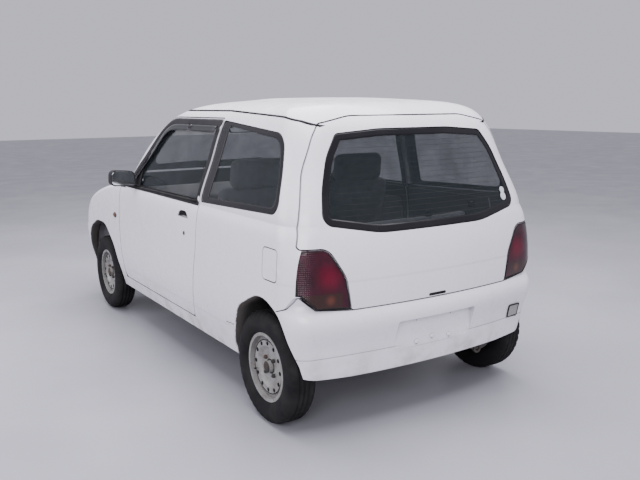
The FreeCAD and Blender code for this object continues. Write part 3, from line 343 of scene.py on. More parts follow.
# Materials of the solids that show as they are
NODE_FINISH = [
    (PAINT, "quarter_left quarter_right front_pillars fenders sills door_left door_right hatch"),
    (ROOF_PAINT, "roof_panel"),
    (PANEL_PAINT, "hood fuel_lid front_bumper rear_bumper nose_panel"),
    (GLASS, "quarter_glasses windscreen door_glass_left door_glass_right hatch_glass"),
    (CLEAR, "headlamps"),
    (LENS, "tail_lamps"),
    (BLACK, "mirror_left mirror_right bulkhead"),
    (TRIM, "dashboard steering_wheel"),
    (CHASSIS, "floor_pan wheel_houses front_suspension rear_axle knuckle_left knuckle_right"
              " fuel_tank"),
    (STEEL, "exhaust"),
    (CAST, "engine_block"),
    (WHEEL, "rim_front_left rim_front_right rim_rear_left rim_rear_right"),
    (RUBBER, "tyre_front_left tyre_front_right tyre_rear_left tyre_rear_right"),
    (SEAT, "front_seats rear_seat"),
]
for finish, nodes in NODE_FINISH:
    for node in nodes.split():
        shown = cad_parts[node]
        shown.data.materials.clear()
        shown.data.materials.append(finish)


def mm(x, y, z):
    """A point given in millimetres."""
    return Vector((x, y, z)) * MM


def placed(name, data):
    """A new object in the scene."""
    made = bpy.data.objects.new(name, data)
    scene.collection.objects.link(made)
    return made


def mesh_piece(name, points, faces, look, body="root", smooth=True):
    """A named mesh riding on a body of the car."""
    finish, slot = look
    mesh = bpy.data.meshes.new(name)
    mesh.from_pydata([tuple(p) for p in points], [], faces)
    mesh.materials.append(finish)
    mesh.validate()
    made = placed(name, mesh)
    shape = bmesh.new()
    shape.from_mesh(mesh)
    bmesh.ops.recalc_face_normals(shape, faces=shape.faces)
    shape.to_mesh(mesh)
    shape.free()
    for polygon in mesh.polygons:
        polygon.use_smooth = smooth
    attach(made, body)
    return made


def wall_faces(rows, count, closed=True, looped=False):
    """The faces between rows of count points each; looped joins the last row to the first."""
    faces = []
    for row in range(rows if looped else rows - 1):
        here, ahead = row * count, (row + 1) % rows * count
        for index in range(count if closed else count - 1):
            after = (index + 1) % count
            faces.append((here + index, here + after, ahead + after, ahead + index))
    return faces


def end_faces(rows, count):
    """The two faces that close a tube of rows of count points each."""
    return [tuple(range(count)), tuple(range((rows - 1) * count, rows * count))]


def thicken(piece, depth):
    wall = piece.modifiers.new("wall", "SOLIDIFY")
    wall.thickness = depth
    wall.offset = -1.0


def corner_arc(before, corner, after, steps, skip_straight=False):
    """The points of the arc that rounds a corner of an outline."""
    here, radius = Vector(corner[:2]), max(corner[2], 0.5)
    back = (Vector(before[:2]) - here).normalized()
    ahead = (Vector(after[:2]) - here).normalized()
    half_turn = back.angle(ahead) / 2
    if skip_straight and math.tan(half_turn) > NEARLY_STRAIGHT:
        return [here]
    setback = radius / math.tan(half_turn)
    centre = here + (back + ahead).normalized() * (radius / math.sin(half_turn))
    first = here + back * setback - centre
    last = here + ahead * setback - centre
    turn = math.atan2(first.x * last.y - first.y * last.x, first.dot(last))
    return [centre + Matrix.Rotation(turn * step / steps, 2) @ first for step in range(steps + 1)]


def rounded(corners, arc_steps=ARC_STEPS, edge_steps=8):
    """Closed outline in metres through (u, v, radius) corners in millimetres.

    Every outline with as many corners has as many points, so that two of them can be joined.
    """
    count = len(corners)
    arcs = [corner_arc(corners[index - 1], corners[index], corners[(index + 1) % count], arc_steps)
            for index in range(count)]
    points = []
    for index, arc in enumerate(arcs):
        ahead = arcs[(index + 1) % count][0]
        points += arc
        points += [arc[-1].lerp(ahead, step / edge_steps) for step in range(1, edge_steps)]
    return [p * MM for p in points]


def resampled(route, step=20.0):
    """Points in metres along an open outline of (u, v, radius) or (u, v) in millimetres."""
    corners = [(*corner, 1) if len(corner) == 2 else corner for corner in route]
    points = [Vector(corners[0][:2])]
    for before, corner, after in zip(corners, corners[1:], corners[2:]):
        points += corner_arc(before, corner, after, ARC_STEPS, skip_straight=True)
    points.append(Vector(corners[-1][:2]))
    dense = []
    for a, b in zip(points, points[1:]):
        pieces = max(1, round((b - a).length / step))
        dense += [a.lerp(b, k / pieces) for k in range(pieces)]
    dense.append(points[-1])
    return [p * MM for p in dense]


def beside(points, amount):
    """Points moved sideways by amount in millimetres, to the left of the way they run."""
    moved = []
    for index, here in enumerate(points):
        way = points[min(index + 1, len(points) - 1)] - points[max(index - 1, 0)]
        way.normalize()
        moved.append(here + Vector((-way.y, way.x)) * amount * MM)
    return moved


def grown(corners, amount):
    """An outline moved outward by amount in millimetres, inward when it is negative."""
    count = len(corners)
    area = sum(corners[i][0] * corners[(i + 1) % count][1]
               - corners[(i + 1) % count][0] * corners[i][1] for i in range(count))
    turn = 1.0 if area > 0 else -1.0
    moved = []
    for index in range(count):
        u, v, radius = corners[index]
        before = (Vector((u, v)) - Vector(corners[index - 1][:2])).normalized()
        after = (Vector(corners[(index + 1) % count][:2]) - Vector((u, v))).normalized()
        normal = (Vector((before.y, -before.x)) + Vector((after.y, -after.x))).normalized() * turn
        shift = amount / max(math.cos(before.angle(after) / 2), 0.3)
        convex = (before.x * after.y - before.y * after.x) * turn > 0
        moved.append((u + normal.x * shift, v + normal.y * shift,
                      max(radius + (amount if convex else -amount), 1.0)))
    return moved


TREES = {}


def tree_of(node):
    """A node's faces, ready for rays."""
    if node not in TREES:
        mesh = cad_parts[node].data
        TREES[node] = BVHTree.FromPolygons([v.co for v in mesh.vertices],
                                           [p.vertices for p in mesh.polygons])
    return TREES[node]


def cast(nodes, start, way):
    """The first hit on any of the nodes along a ray, with its normal turned to the start."""
    hits = [tree_of(node).ray_cast(start, way) for node in nodes]
    hits = [hit for hit in hits if hit[0] is not None]
    if not hits:
        return None
    place, normal = min(hits, key=lambda hit: hit[3])[:2]
    return place, -normal if normal.dot(way) > 0 else normal


def from_side(sign):
    """Rays towards the middle plane from one side, for outlines of (y, z)."""
    return lambda p: (Vector((sign, p[0], p[1])), Vector((-sign, 0, 0)))


def from_end(sign):
    """Rays along the car from one end, for outlines of (x, z)."""
    return lambda p: (Vector((p[0], sign * RAY_START, p[1])), Vector((0, -sign, 0)))


from_behind, from_front = from_end(1), from_end(-1)


def laid(nodes, ray, point, lift):
    """A point of an outline on the surface under it, lifted off it."""
    hit = cast(nodes, *ray(point))
    return hit and hit[0] + hit[1] * lift


def surface_at(nodes, ray, u, v):
    """The surface point and normal under (u, v) in millimetres."""
    return cast(nodes, *ray(Vector((u, v)) * MM))


def laid_rows(name, rows, lifts, nodes, ray, look, body="root", closed=True, depth=0.8):
    """A skin over rows of as many outline points, each row at its own lift above the nodes."""
    count = len(rows[0])
    points = [laid(nodes, ray, p, lift * MM) for row, lift in zip(rows, lifts) for p in row]
    for index, point in enumerate(points):
        if point is None:
            row, place = divmod(index, count)
            near = [points[row * count + (place + step) % count] for step in (1, -1, 2, -2, 3, -3)]
            near += [points[other * count + place] for other in range(len(rows))]
            near = [p for p in near if p is not None]
            if not near:
                raise RuntimeError(f"{name} lies off its nodes")
            points[index] = near[0].copy()
    made = mesh_piece(name, points, wall_faces(len(rows), count, closed), look, body)
    thicken(made, depth * MM)
    return made


def band(name, outer, inner, nodes, ray, lift, look, body="root", rows=4, depth=0.8):
    """A strip between two outlines with as many corners, laid on the nodes' surface."""
    first, last = rounded(outer), rounded(inner)
    lines = [[a.lerp(b, row / rows) for a, b in zip(first, last)] for row in range(rows + 1)]
    laid_rows(name, lines, [lift] * (rows + 1), nodes, ray, look, body, depth=depth)


def patch(name, corners, nodes, ray, lift, look, body="root", depth=0.8, rows=5):
    """A filled outline laid on the nodes' surface."""
    outline = rounded(corners)
    centre = sum(outline, Vector((0, 0))) / len(outline)
    lines = [[a.lerp(centre, min(row / rows, 0.995)) for a in outline] for row in range(rows + 1)]
    laid_rows(name, lines, [lift] * (rows + 1), nodes, ray, look, body, depth=depth)


def strip(name, route, width, lifts, nodes, ray, look, body="root", step=20.0):
    """A strip of one width along an open outline; lifts at its first side, middle and last."""
    points = resampled(route, step)
    rows = [beside(points, width / 2), points, beside(points, -width / 2)]
    laid_rows(name, rows, lifts, nodes, ray, look, body, closed=False)


def slab(name, corners, along, span, look, body="root", bevel=2.0, segments=2):
    """A softened block over an outline of (u, v, radius), from end to end of a span along an axis."""
    outline = rounded(corners, 4, 1)
    count = len(outline)
    place = {"X": lambda p, t: (t, p.x, p.y), "Y": lambda p, t: (p.x, t, p.y),
             "Z": lambda p, t: (p.x, p.y, t)}[along]
    points = [place(p, t * MM) for t in sorted(span) for p in outline]
    made = mesh_piece(name, points, wall_faces(2, count) + end_faces(2, count), look, body,
                      smooth=False)
    edge = made.modifiers.new("edges", "BEVEL")
    edge.width = bevel * MM
    edge.segments = segments
    edge.limit_method = "ANGLE"
    edge.angle_limit = SHARP_EDGE
    return made


def block(name, low, high, look, bevel=3.0, radius=4.0):
    """A softened block between two corners."""
    corners = [(low[0], low[2], radius), (high[0], low[2], radius), (high[0], high[2], radius),
               (low[0], high[2], radius)]
    slab(name, corners, "Y", (low[1], high[1]), look, bevel=bevel)


def square_to(way):
    """Two directions square to a way and to each other."""
    side = way.cross(Vector((0, 0, 1)))
    if side.length < UPRIGHT:
        side = way.cross(Vector((0, 1, 0)))
    side.normalize()
    return side, side.cross(way)


def ring(centre, side, up, steps):
    """Points round a centre, as far from it as side and up are long."""
    turns = [2 * math.pi * step / steps for step in range(steps)]
    return [centre + side * math.cos(turn) + up * math.sin(turn) for turn in turns]


def button(name, centre, normal, profile, look, body="root", steps=24, stretch=(1.0, 1.0),
           smooth=True):
    """A closed turned form of (height, radius) standing on a surface, wide by stretch."""
    normal = Vector(normal).normalized()
    side, up = square_to(normal)
    points = []
    for height, radius in profile:
        points += ring(centre + normal * height * MM, side * radius * stretch[0] * MM,
                       up * radius * stretch[1] * MM, steps)
    faces = wall_faces(len(profile), steps) + end_faces(len(profile), steps)
    mesh_piece(name, points, faces, look, body, smooth)


def rod(name, route, radius, look, body="root", around=8, flat=1.0):
    """A round or flattened bar along points, all in metres."""
    points = []
    for index, here in enumerate(route):
        way = (route[min(index + 1, len(route) - 1)] - route[max(index - 1, 0)]).normalized()
        side, up = square_to(way)
        points += ring(here, side * radius, up * radius * flat, around)
    faces = wall_faces(len(route), around) + end_faces(len(route), around)
    mesh_piece(name, points, faces, look, body)


def turned(name, profile, centre, sign, look, body, steps=48, change=None):
    """A closed profile of (offset outward, radius) in millimetres, turned about a wheel's axle."""
    count = len(profile)
    points = []
    for step in range(steps):
        turn = 2 * math.pi * step / steps
        for index, (offset, radius) in enumerate(profile):
            if change:
                radius = change(step, index, radius)
            points.append(centre + mm(sign * offset, radius * math.cos(turn),
                                      radius * math.sin(turn)))
    return mesh_piece(name, points, wall_faces(steps, count, looped=True), look, body)


def bar(name, route, radius, look, body="root", around=8):
    """A rod whose points and radius are given in millimetres."""
    rod(name, [mm(*point) for point in route], radius * MM, look, body, around)


def on_side(sign, corners):
    """An outline of the left side, (x, z, radius), on either side."""
    return [(sign * x, z, radius) for x, z, radius in corners]


WHEELS = [("front", 0.650, FRONT_AXLE), ("rear", 0.645, REAR_AXLE)]
HUB_HEIGHT = 0.262
TREAD_STEPS = 168
# (offset, radius), from the inner bead to the middle of the tread, then on to the outer bead
TYRE_PROFILE = [
    (-47.5, 151), (-47.8, 156), (-49, 161.5), (-54, 165), (-62, 176), (-68, 192), (-70, 206),
    (-69.6, 220), (-68, 232), (-64, 243), (-58, 251), (-52, 256.5), (-46, 259.5), (-38, 261.0),
    (-30, 261.6), (-28, 255), (-21, 255), (-19, 261.9), (-4, 262), (-2.5, 255),
]
TYRE_PROFILE += [(-offset, radius) for offset, radius in reversed(TYRE_PROFILE)]
# A step in the outer side, below its bulge
TYRE_PROFILE[-5:-5] = [(65.5, 185), (64.6, 183)]
SHOULDER = set(range(10, 14)) | set(range(27, 31))
RIBS = set(range(17, 19)) | set(range(21, 23))
BOSS_PROFILE = [(44, 15.5), (44, 25), (46.5, 27), (49, 25), (50.5, 20), (51, 4), (49, 0.6), (44, 0.6)]
NUT_PROFILE = [(-1, 9.8), (7, 9.8), (9, 8.6), (13, 7.6), (15, 5.0)]
HOLE_SHADE_PROFILE = [(-3, 9.3), (1.7, 9.3), (1.7, 9.9), (2.3, 9.7), (2.3, 9.1), (-1.6, 8.9), (-1.6, 0.5)]


def tread(step, index, radius):
    """Grooves across the shoulder blocks, and shorter sipes in the middle ribs."""
    if index in SHOULDER and step % 4 == 0:
        return radius - 4.5
    if index in RIBS and (step + 2) % 4 == 0:
        return radius - 3.0
    return radius


def on_disc(centre, sign, offset, radius, degrees):
    """A point of a wheel at an offset outward and a radius in millimetres."""
    turn = math.radians(degrees)
    return centre + mm(sign * offset, radius * math.cos(turn), radius * math.sin(turn))


# Wheels: tyre, dark boss with four nuts, painted shade at the edge of the disc and in its holes, and valve
for end, half_track, axle in WHEELS:
    for side, sign in SIDES:
        body, tag = f"{end}_{side}_wheel", f"{end}_{side}"
        centre = Vector((sign * half_track, axle, HUB_HEIGHT))
        tyre = turned(f"tyre_tread_{tag}", TYRE_PROFILE, centre, sign, (RUBBER, "rubber"), body,
                      TREAD_STEPS, tread)
        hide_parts(f"tyre_{end}_{side}")
        turned(f"hub_boss_{tag}", BOSS_PROFILE, centre, sign, RUSTY_HUB, body, 32)
        for index in range(4):
            button(f"wheel_nut_{tag}_{index}", on_disc(centre, sign, 26, 50, 45 + 90 * index),
                   (sign, 0, 0), NUT_PROFILE, RUSTY_HUB, body, steps=6, smooth=False)
        # Painted shade: a dark ring at the disc's edge, where the groove to the barrel lies in shadow.
        turned(f"disc_edge_shade_{tag}", [(39.6, 122.5), (40.5, 122.7), (40.5, 126.8), (39.6, 127)],
               centre, sign, WHEEL_SHADE, body)
        turned(f"hub_shade_{tag}", [(26.1, 28.6), (26.7, 28.6), (26.7, 36), (26.1, 36)], centre,
               sign, RUSTY_HUB, body, 32)
        # Painted shade: dark plugs in the disc's holes, where the drum behind would show lit.
        for index in range(12):
            button(f"disc_hole_shade_{tag}_{index}", on_disc(centre, sign, 38.5, 111, 30 * index),
                   (sign, 0, 0), HOLE_SHADE_PROFILE, WHEEL_SHADE, body, steps=16)
        foot, tip = on_disc(centre, sign, 34, 128, 200), on_disc(centre, sign, 52, 112, 200)
        rod(f"tyre_valve_{tag}", [foot, foot.lerp(tip, 0.5), tip], 0.0042, RUBBER_SEAL, body)

# Windows: black borders, sash frames, smoked visors and the strips over the doors
for side, sign in SIDES:
    door, out = f"{side}_door", from_side(sign)
    skin, pane = [f"door_{side}"], [f"door_glass_{side}"]
    band(f"quarter_frit_{side}", grown(QUARTER_WINDOW, -0.8), QUARTER_CLEAR, ["quarter_glasses"],
         out, 0.5, BLACK_BORDER, depth=0.3)
    band(f"door_sash_{side}", DOOR_SASH, grown(DOOR_WINDOW, 0.5), skin, out, 0.9, BLACK_TRIM, door)
    band(f"door_seal_{side}", grown(DOOR_WINDOW, -0.6), grown(DOOR_WINDOW, -9), pane, out, 1.6,
         RUBBER_SEAL, door, rows=2, depth=1.4)
    strip(f"waist_rail_{side}", [(-446, 938), (604, 950)], 15, (0.6, 4.5, 0.6), skin, out,
          MOULDING, door, step=60)
    strip(f"drip_moulding_{side}", [(-72, 1380)] + DRIP_LINE, 8, (0.5, 3.2, 0.5),
          ["front_pillars", f"quarter_{side}", "roof_panel", "hatch"], out, MOULDING)
    top = resampled([(-404, 968, 1), (-21, 1340, 262), (300, 1340, 1), (646, 1340, 1)], 25)
    rows = [top, beside(top, -16), beside(top, -32), beside(top, -46)]
    visor = laid_rows(f"wind_visor_{side}", rows, (2, 8, 13, 16), skin + pane, out,
                      (VISOR, "black_plastic"), door, closed=False, depth=1.6)
    visor.modifiers.new("smooth", "SMOOTH").iterations = 4
    visor.modifiers.move(visor.modifiers.find("smooth"), 0)
    patch(f"mirror_sail_{side}", [(-428, 949, 2), (-262, 951, 4), (-262, 1094, 4)], pane, out, 6.5,
          BLACK_TRIM, door, depth=3)

band("hatch_frit", grown(HATCH_GLASS, -0.8), grown(HATCH_GLASS, -34), ["hatch_glass"], from_behind,
     0.5, BLACK_BORDER, "hatch", depth=0.3)
band("windscreen_frit", grown(WINDSCREEN, -0.8), WINDSCREEN_CLEAR, ["windscreen"], from_front, 0.5,
     BLACK_BORDER, depth=0.3)
HEATER_LINES, LOWEST_LINE, LINE_GAP = 15, 948, 23.5
PANE_DEPTH = Vector((0, 0.0058, 0))
for index in range(HEATER_LINES):
    level = LOWEST_LINE + LINE_GAP * index
    shorter = 50 if index in (0, HEATER_LINES - 1) else 0
    half = int(min(528 - 0.34 * (level - LOWEST_LINE) - shorter, 520))
    line = [laid(["hatch_glass"], from_behind, Vector((x, level)) * MM, 0.0)
            for x in range(-half, half + 1, 44)]
    rod(f"heater_line_{index}", [p - PANE_DEPTH for p in line if p is not None], 0.0005,
        (LINES, "glass"), "hatch", around=4)
for index, (x, z, radius) in enumerate([(-505, 1019, 17), (-504, 989, 20)]):
    place, normal = surface_at(["hatch_glass"], from_behind, x, z)
    button(f"sticker_{index}", place, normal, [(0.1, radius), (0.9, radius), (1.0, radius - 0.6)],
           (PAPER, "glass"), "hatch")

# Doors: dark cup over the handle's flap, key lock, the mirror's glass and the side marker
KEYHOLE = [(0.2, 10.5), (2.0, 10.5), (2.6, 9.6), (2.6, 7.2), (1.2, 6.8), (1.2, 0.6)]
MIRROR_OUTLINE = [(719, 957, 12), (866, 965, 24), (860, 1050, 28), (730, 1038, 20)]
for side, sign in SIDES:
    door, out = f"{side}_door", from_side(sign)
    patch(f"handle_cup_{side}", HANDLE_RECESS, [f"door_{side}"], out, 0.6, BLACK_TRIM, door, depth=0.5)
    place, normal = surface_at([f"door_{side}"], out, 487, 770)
    button(f"key_ring_{side}", place, normal, KEYHOLE, BLACK_TRIM, door)
    button(f"key_slot_{side}", place + normal * 0.001, normal,
           [(0.2, 6.6), (1.4, 6.4), (1.5, 1.0)], (STEEL, "black_plastic"), door, stretch=(0.25, 1.0))
    slab(f"mirror_glass_{side}", on_side(sign, MIRROR_OUTLINE), "Y", (-300.6, -298.4), BRIGHT, door,
         bevel=0.8)
    place, normal = surface_at(["fenders"], out, -698, 723)
    button(f"side_marker_{side}", place, normal, [(0, 15), (3, 15), (6.5, 13.2), (8.5, 8), (9, 1)],
           (DARK_LENS, "red_lens"), stretch=(2.0, 1.0))
    button(f"marker_base_{side}", place, normal, [(0.1, 17.4), (2.4, 17.2), (3.0, 16)], MOULDING,
           stretch=(1.85, 1.0))

# Wheel arches: a dark liner inside and a rolled lip along the edge
LINER_ROWS = 4
for side, sign in SIDES:
    for end, arch, axle, skin, deep in (
            ("rear", REAR_ARCH, REAR_AXLE, [f"quarter_{side}", "rear_bumper", "sills"], 0.548),
            ("front", FRONT_ARCH, FRONT_AXLE, ["fenders", "front_bumper", "sills"], 0.672)):
        line = resampled(arch, 18)
        middle = Vector((axle, 0.33))
        hits = [cast(skin, *from_side(sign)(p + (p - middle).normalized() * 0.006)) for p in line]
        last = next(hit for hit in hits if hit)
        depths = []
        for hit in hits:
            last = hit or last
            depths.append(abs(last[0].x))
        points = []
        for row in range(LINER_ROWS):
            for p, x in zip(line, depths):
                inside = p + (middle - p).normalized() * 0.0022
                start = x - 0.004
                reach = start + (deep - start) * row / (LINER_ROWS - 1)
                points.append((sign * reach, inside.x, inside.y))
        faces = wall_faces(LINER_ROWS, len(line), closed=False)
        thicken(mesh_piece(f"arch_liner_{end}_{side}", points, faces, UNDERBODY), 0.0012)
        lip = [Vector((sign * (x - 0.0022), p.x, p.y)) for p, x in zip(line, depths)]
        rod(f"arch_lip_{end}_{side}", lip, 0.0026, (LIP, "body_paint"), around=6)

# Tail: lamp gaskets, a small lamp, the plate's pads with painted shade in their holes, the latch pull and a
# crack
for side, sign in SIDES:
    outline = on_side(sign, LAMP)
    band(f"lamp_gasket_{side}", grown(outline, -0.4), grown(outline, -7), ["tail_lamps"],
         from_behind, 0.5, RUBBER_SEAL, rows=2)
SMALL_LAMP = [(-517, 375, 5), (-598, 372, 5), (-601, 436, 5), (-517, 440, 5)]
patch("small_lamp", SMALL_LAMP, ["rear_bumper"], from_behind, 5.0, (GREY_LENS, "red_lens"), depth=4.5)
band("small_lamp_rim", grown(SMALL_LAMP, 2.5), grown(SMALL_LAMP, -2.0), ["rear_bumper"],
     from_behind, 6.0, RUBBER_SEAL, rows=2, depth=5.5)
patch("latch_pull", [(-49, 584, 5), (55, 584, 5), (52, 597, 5), (-46, 597, 5)], ["hatch"],
      from_behind, 0.7, MOULDING, "hatch", depth=0.5)
for index, (x, z) in enumerate([(103, 363), (9, 373), (-96, 363)]):
    place, normal = surface_at(["rear_bumper"], from_behind, x, z)
    button(f"plate_pad_{index}", place + mm(0, 0, 10), normal, [(0.1, 11), (4, 10.5), (5, 9)],
           (PANEL_PAINT, "body_paint"), stretch=(1.3, 1.0))
    # Painted shade: a flat dark disc for each hole in the plate's pads.
    button(f"plate_hole_shade_{index}", place, normal, [(0.1, 5.0), (0.7, 5.0), (0.8, 0.5)], MOULDING,
           steps=16)
CRACK = [(952, 394), (968, 400), (985, 396), (1004, 403), (1022, 399), (1040, 405)]
rod("sill_crack", [surface_at(["quarter_left"], from_side(1.0), y, z)[0] for y, z in CRACK], 0.0016,
    (RUSTY, "body_paint"), around=5)

# Front: lamp inserts, turn lamps, radiator, wipers
FORWARD = (0, -1, 0)
LAMP_BOWL = [(0, 62), (-14, 60), (-34, 44), (-44, 20), (-45, 4), (-47, 4), (-46, 24), (-37, 47),
             (-17, 63), (0, 65)]
TURN_LAMP = [(632, 612, 8), (700, 616, 8), (700, 726, 8), (640, 728, 8)]
for side, sign in SIDES:
    start = mm(sign * 500, -1548, 668)
    button(f"lamp_bowl_{side}", start, FORWARD, LAMP_BOWL, (CHROME, "black_plastic"), steps=32)
    button(f"lamp_bulb_{side}", start, FORWARD, [(-44, 9), (-24, 9), (-20, 6), (-18, 1)], BRIGHT,
           steps=12)
    patch(f"turn_lamp_{side}", on_side(sign, TURN_LAMP), ["headlamps"], from_front, 0.6,
          (AMBER, "red_lens"), depth=0.5)
block("radiator", (-300, -1432, 300), (300, -1402, 700), MACHINE_BLACK)
for index in range(19):
    bar(f"radiator_row_{index}", [(x, -1434, 316 + 20.5 * index) for x in (-288, 0, 288)], 3,
        (STEEL, "engine_metal"), around=4)
block("intake_screen", (-338, -1592, 334), (338, -1586, 416), MOULDING, 1)
for index in range(3):
    bar(f"intake_bar_{index}", [(x, -1596, 354 + 21 * index) for x in (-334, 0, 334)], 3.5,
        BLACK_TRIM, around=6)
# x of each wiper's pivot and of its blade's far end
for index, (pivot, tip) in enumerate([(-440, 40), (40, 510)]):
    points = []
    for share in range(9):
        level = 1036 + 20 * math.sin(math.pi * share / 8)
        place, normal = surface_at(["windscreen"], from_front, pivot + (tip - pivot) * share / 8, level)
        points.append(place + normal * 0.006)
    rod(f"wiper_blade_{index}", points, 0.0045, RUBBER_SEAL, around=6)
    base = Vector((pivot * MM, points[0].y - 0.045, 0.942))
    rod(f"wiper_arm_{index}", [base, points[2] + mm(0, -12, 10), points[4]], 0.005, BLACK_TRIM,
        around=6, flat=0.6)
    button(f"wiper_pivot_{index}", base, (0, -0.3, 1), [(-6, 13), (4, 13), (9, 10), (10, 2)], BLACK_TRIM)

# Cabin: dashboard fittings, wheel boss, pedals, tunnel tray, mirror and sun visors
slab("instrument_hood", [(-470, 900, 20), (-322, 852, 12), (-305, 862, 14), (-330, 930, 34),
                         (-440, 950, 34)], "X", (-500, -170), CABIN, bevel=12, segments=3)
for index, x in enumerate((-390, -285)):
    button(f"gauge_{index}", mm(x, -312, 880), (0, 1, 0.35),
           [(-6, 44), (3, 44), (4, 41), (2, 39), (2, 0.6)], CABIN_BLACK, steps=28)
for index, (x0, x1) in enumerate(((-575, -520), (-130, -70), (70, 130), (520, 575))):
    block(f"vent_{index}", (x0, -334, 770), (x1, -322, 830), CABIN_BLACK, 2)
    for row in range(4):
        bar(f"vent_{index}_blade_{row}", [(x, -321, 780 + 13 * row) for x in (x0 + 4, x1 - 4)], 2.2,
            CABIN, around=4)
block("radio", (-88, -334, 690), (88, -320, 742), CABIN_BLACK, 2)
block("heater_panel", (-88, -334, 752), (88, -322, 822), CABIN, 2)
for index, (x, z) in enumerate(((-66, 716), (66, 716), (-50, 787), (0, 787), (50, 787))):
    button(f"dash_knob_{index}", mm(x, -321, z), (0, 1, 0), [(0, 11), (9, 10), (12, 8), (12, 1)],
           CABIN, steps=18)
block("glove_box", (160, -335, 652), (520, -323, 768), CABIN, 5)
slab("screen_ledge", [(-618, 900, 2), (-600, 900, 2), (-598, 1002, 2), (-612, 1004, 2)], "X",
     (-560, 560), CABIN_BLACK)
wheel_centre = mm(-330, -190, 840)
COLUMN_TILT = math.radians(60.6)
towards = Vector((0, math.sin(COLUMN_TILT), math.cos(COLUMN_TILT)))
button("wheel_pad", wheel_centre, towards, [(-8, 78), (6, 76), (17, 62), (22, 36), (23, 2)], CABIN,
       steps=32, stretch=(1.0, 0.8))
stalk_foot = wheel_centre - towards * 0.075
for side, sign in SIDES:
    rod(f"stalk_{side}", [stalk_foot, stalk_foot + mm(sign * 90, 0, 10),
                          stalk_foot + mm(sign * 150, 12, 12)], 0.006, CABIN_BLACK)
for index, x in enumerate((-430, -340, -255)):
    slab(f"pedal_{index}", [(-545, 320, 4), (-530, 385, 4), (-538, 388, 4), (-553, 323, 4)], "X",
         (x - 28, x + 28), RUBBER_SEAL, bevel=1.5)
    bar(f"pedal_arm_{index}", [(x, -546, 356), (x, -575, 470), (x, -560, 640)], 6, CABIN_BLACK)
slab("tunnel_tray", [(-105, 246, 4), (-100, 322, 20), (60, 318, 20), (250, 330, 16), (258, 246, 4)],
     "X", (-70, 70), CABIN, bevel=8, segments=3)
bar("gear_lever", [(0, -50, 318), (0, -72, 420), (0, -80, 490)], 7, CABIN_BLACK)
button("gear_knob", mm(0, -80, 488), (0, -0.1, 1), [(-6, 12), (4, 22), (24, 24), (38, 17), (42, 3)],
       CABIN)
bar("hand_brake", [(30, 200, 325), (30, 110, 360), (30, 10, 418)], 11, CABIN)
slab("cabin_mirror", [(-112, 1262, 22), (112, 1262, 22), (112, 1318, 22), (-112, 1318, 22)], "Y",
     (-222, -204), BLACK_TRIM, bevel=6, segments=3)
slab("cabin_mirror_glass", [(-106, 1268, 18), (106, 1268, 18), (106, 1312, 18), (-106, 1312, 18)],
     "Y", (-205, -202.5), BRIGHT, bevel=0.8)
bar("cabin_mirror_stem", [(0, -220, 1296), (0, -250, 1312), (0, -262, 1318)], 6, BLACK_TRIM)
for side, sign in SIDES:
    slab(f"sun_visor_{side}", [(-188, 1296, 4), (-58, 1346, 4), (-62, 1358, 4), (-192, 1308, 4)], "X",
         (sign * 95, sign * 440), (LINER, "seat_cloth"), bevel=4)
for index, (x, z) in enumerate(((-198, 903), (-494, 924))):
    block(f"seat_catch_{index}", (x - 15, 1366, z - 14), (x + 15, 1392, z + 16), CABIN_BLACK, 4, 6)

# Door cards with armrests, pulls and window cranks
for side, sign in SIDES:
    door, inward = f"{side}_door", (-sign, 0, 0)
    slab(f"armrest_{side}", [(-330, 596, 26), (330, 610, 26), (330, 660, 26), (-330, 662, 26)], "X",
         (sign * 640, sign * 690), CABIN, door, bevel=14, segments=3)
    slab(f"door_card_{side}", [(-520, 350, 30), (480, 350, 30), (590, 640, 60), (590, 880, 30),
                               (-520, 860, 30)], "X", (sign * 678, sign * 692),
         (SEAT_BACK, "seat_cloth"), door, bevel=6)
    button(f"speaker_{side}", mm(sign * 678, -380, 450), inward,
           [(0, 84), (5, 82), (7, 76), (5, 70), (6, 2)], CABIN_BLACK, door, steps=36)
    button(f"crank_hub_{side}", mm(sign * 678, -120, 730), inward, [(0, 18), (14, 15), (16, 3)],
           CABIN_BLACK, door)
    bar(f"crank_{side}", [(sign * 666, -120, 730), (sign * 660, -80, 690), (sign * 656, -48, 664)],
        6, CABIN_BLACK, door)
    bar(f"door_pull_{side}", [(sign * 684, -330, 800), (sign * 668, -320, 802),
                              (sign * 666, -260, 802)], 8, CABIN_BLACK, door)

# Engine bay, seen with the hood open
slab("valve_cover", [(-1190, 688, 8), (-1190, 735, 22), (-1000, 748, 22), (-985, 688, 8)], "X",
     (-270, 170), ALLOY, bevel=8, segments=3)
for index in range(7):
    bar(f"cover_rib_{index}", [(x, -1170 + 25 * index, 741 + 1.2 * index) for x in (-250, 150)], 3,
        ALLOY, around=5)
slab("air_cleaner", [(180, -1250, 40), (372, -1250, 40), (372, -1010, 40), (180, -1010, 40)], "Z",
     (690, 800), MACHINE_BLACK, bevel=10, segments=3)
bar("intake_hose", [(200, -1130, 780), (120, -1110, 800), (40, -1090, 790), (0, -1080, 752)], 28,
    RUBBER_SEAL, around=14)
for name, x, z in (("upper", -190, 670), ("lower", 200, 380)):
    bar(f"coolant_hose_{name}", [(x, -1405, z), (x, -1375, z), (x * 0.8, -1345, z + 5),
                                 (x * 0.7, -1320, z + 8)], 16, RUBBER_SEAL, around=12)
block("battery", (200, -870, 560), (392, -742, 730), MACHINE_BLACK, 4)
block("battery_lid", (198, -872, 728), (392, -740, 748), (TRIM, "engine_metal"), 4)
block("battery_tray", (190, -880, 545), (399, -732, 562), UNDERBODY)
block("washer_bottle", (-392, -880, 560), (-250, -760, 720), (PALE, "engine_metal"), 12, 14)
block("bottle_tray", (-399, -886, 545), (-244, -754, 562), UNDERBODY)

# Seats: cushions blown up as cloth, on plain rails
CUSHIONS = []


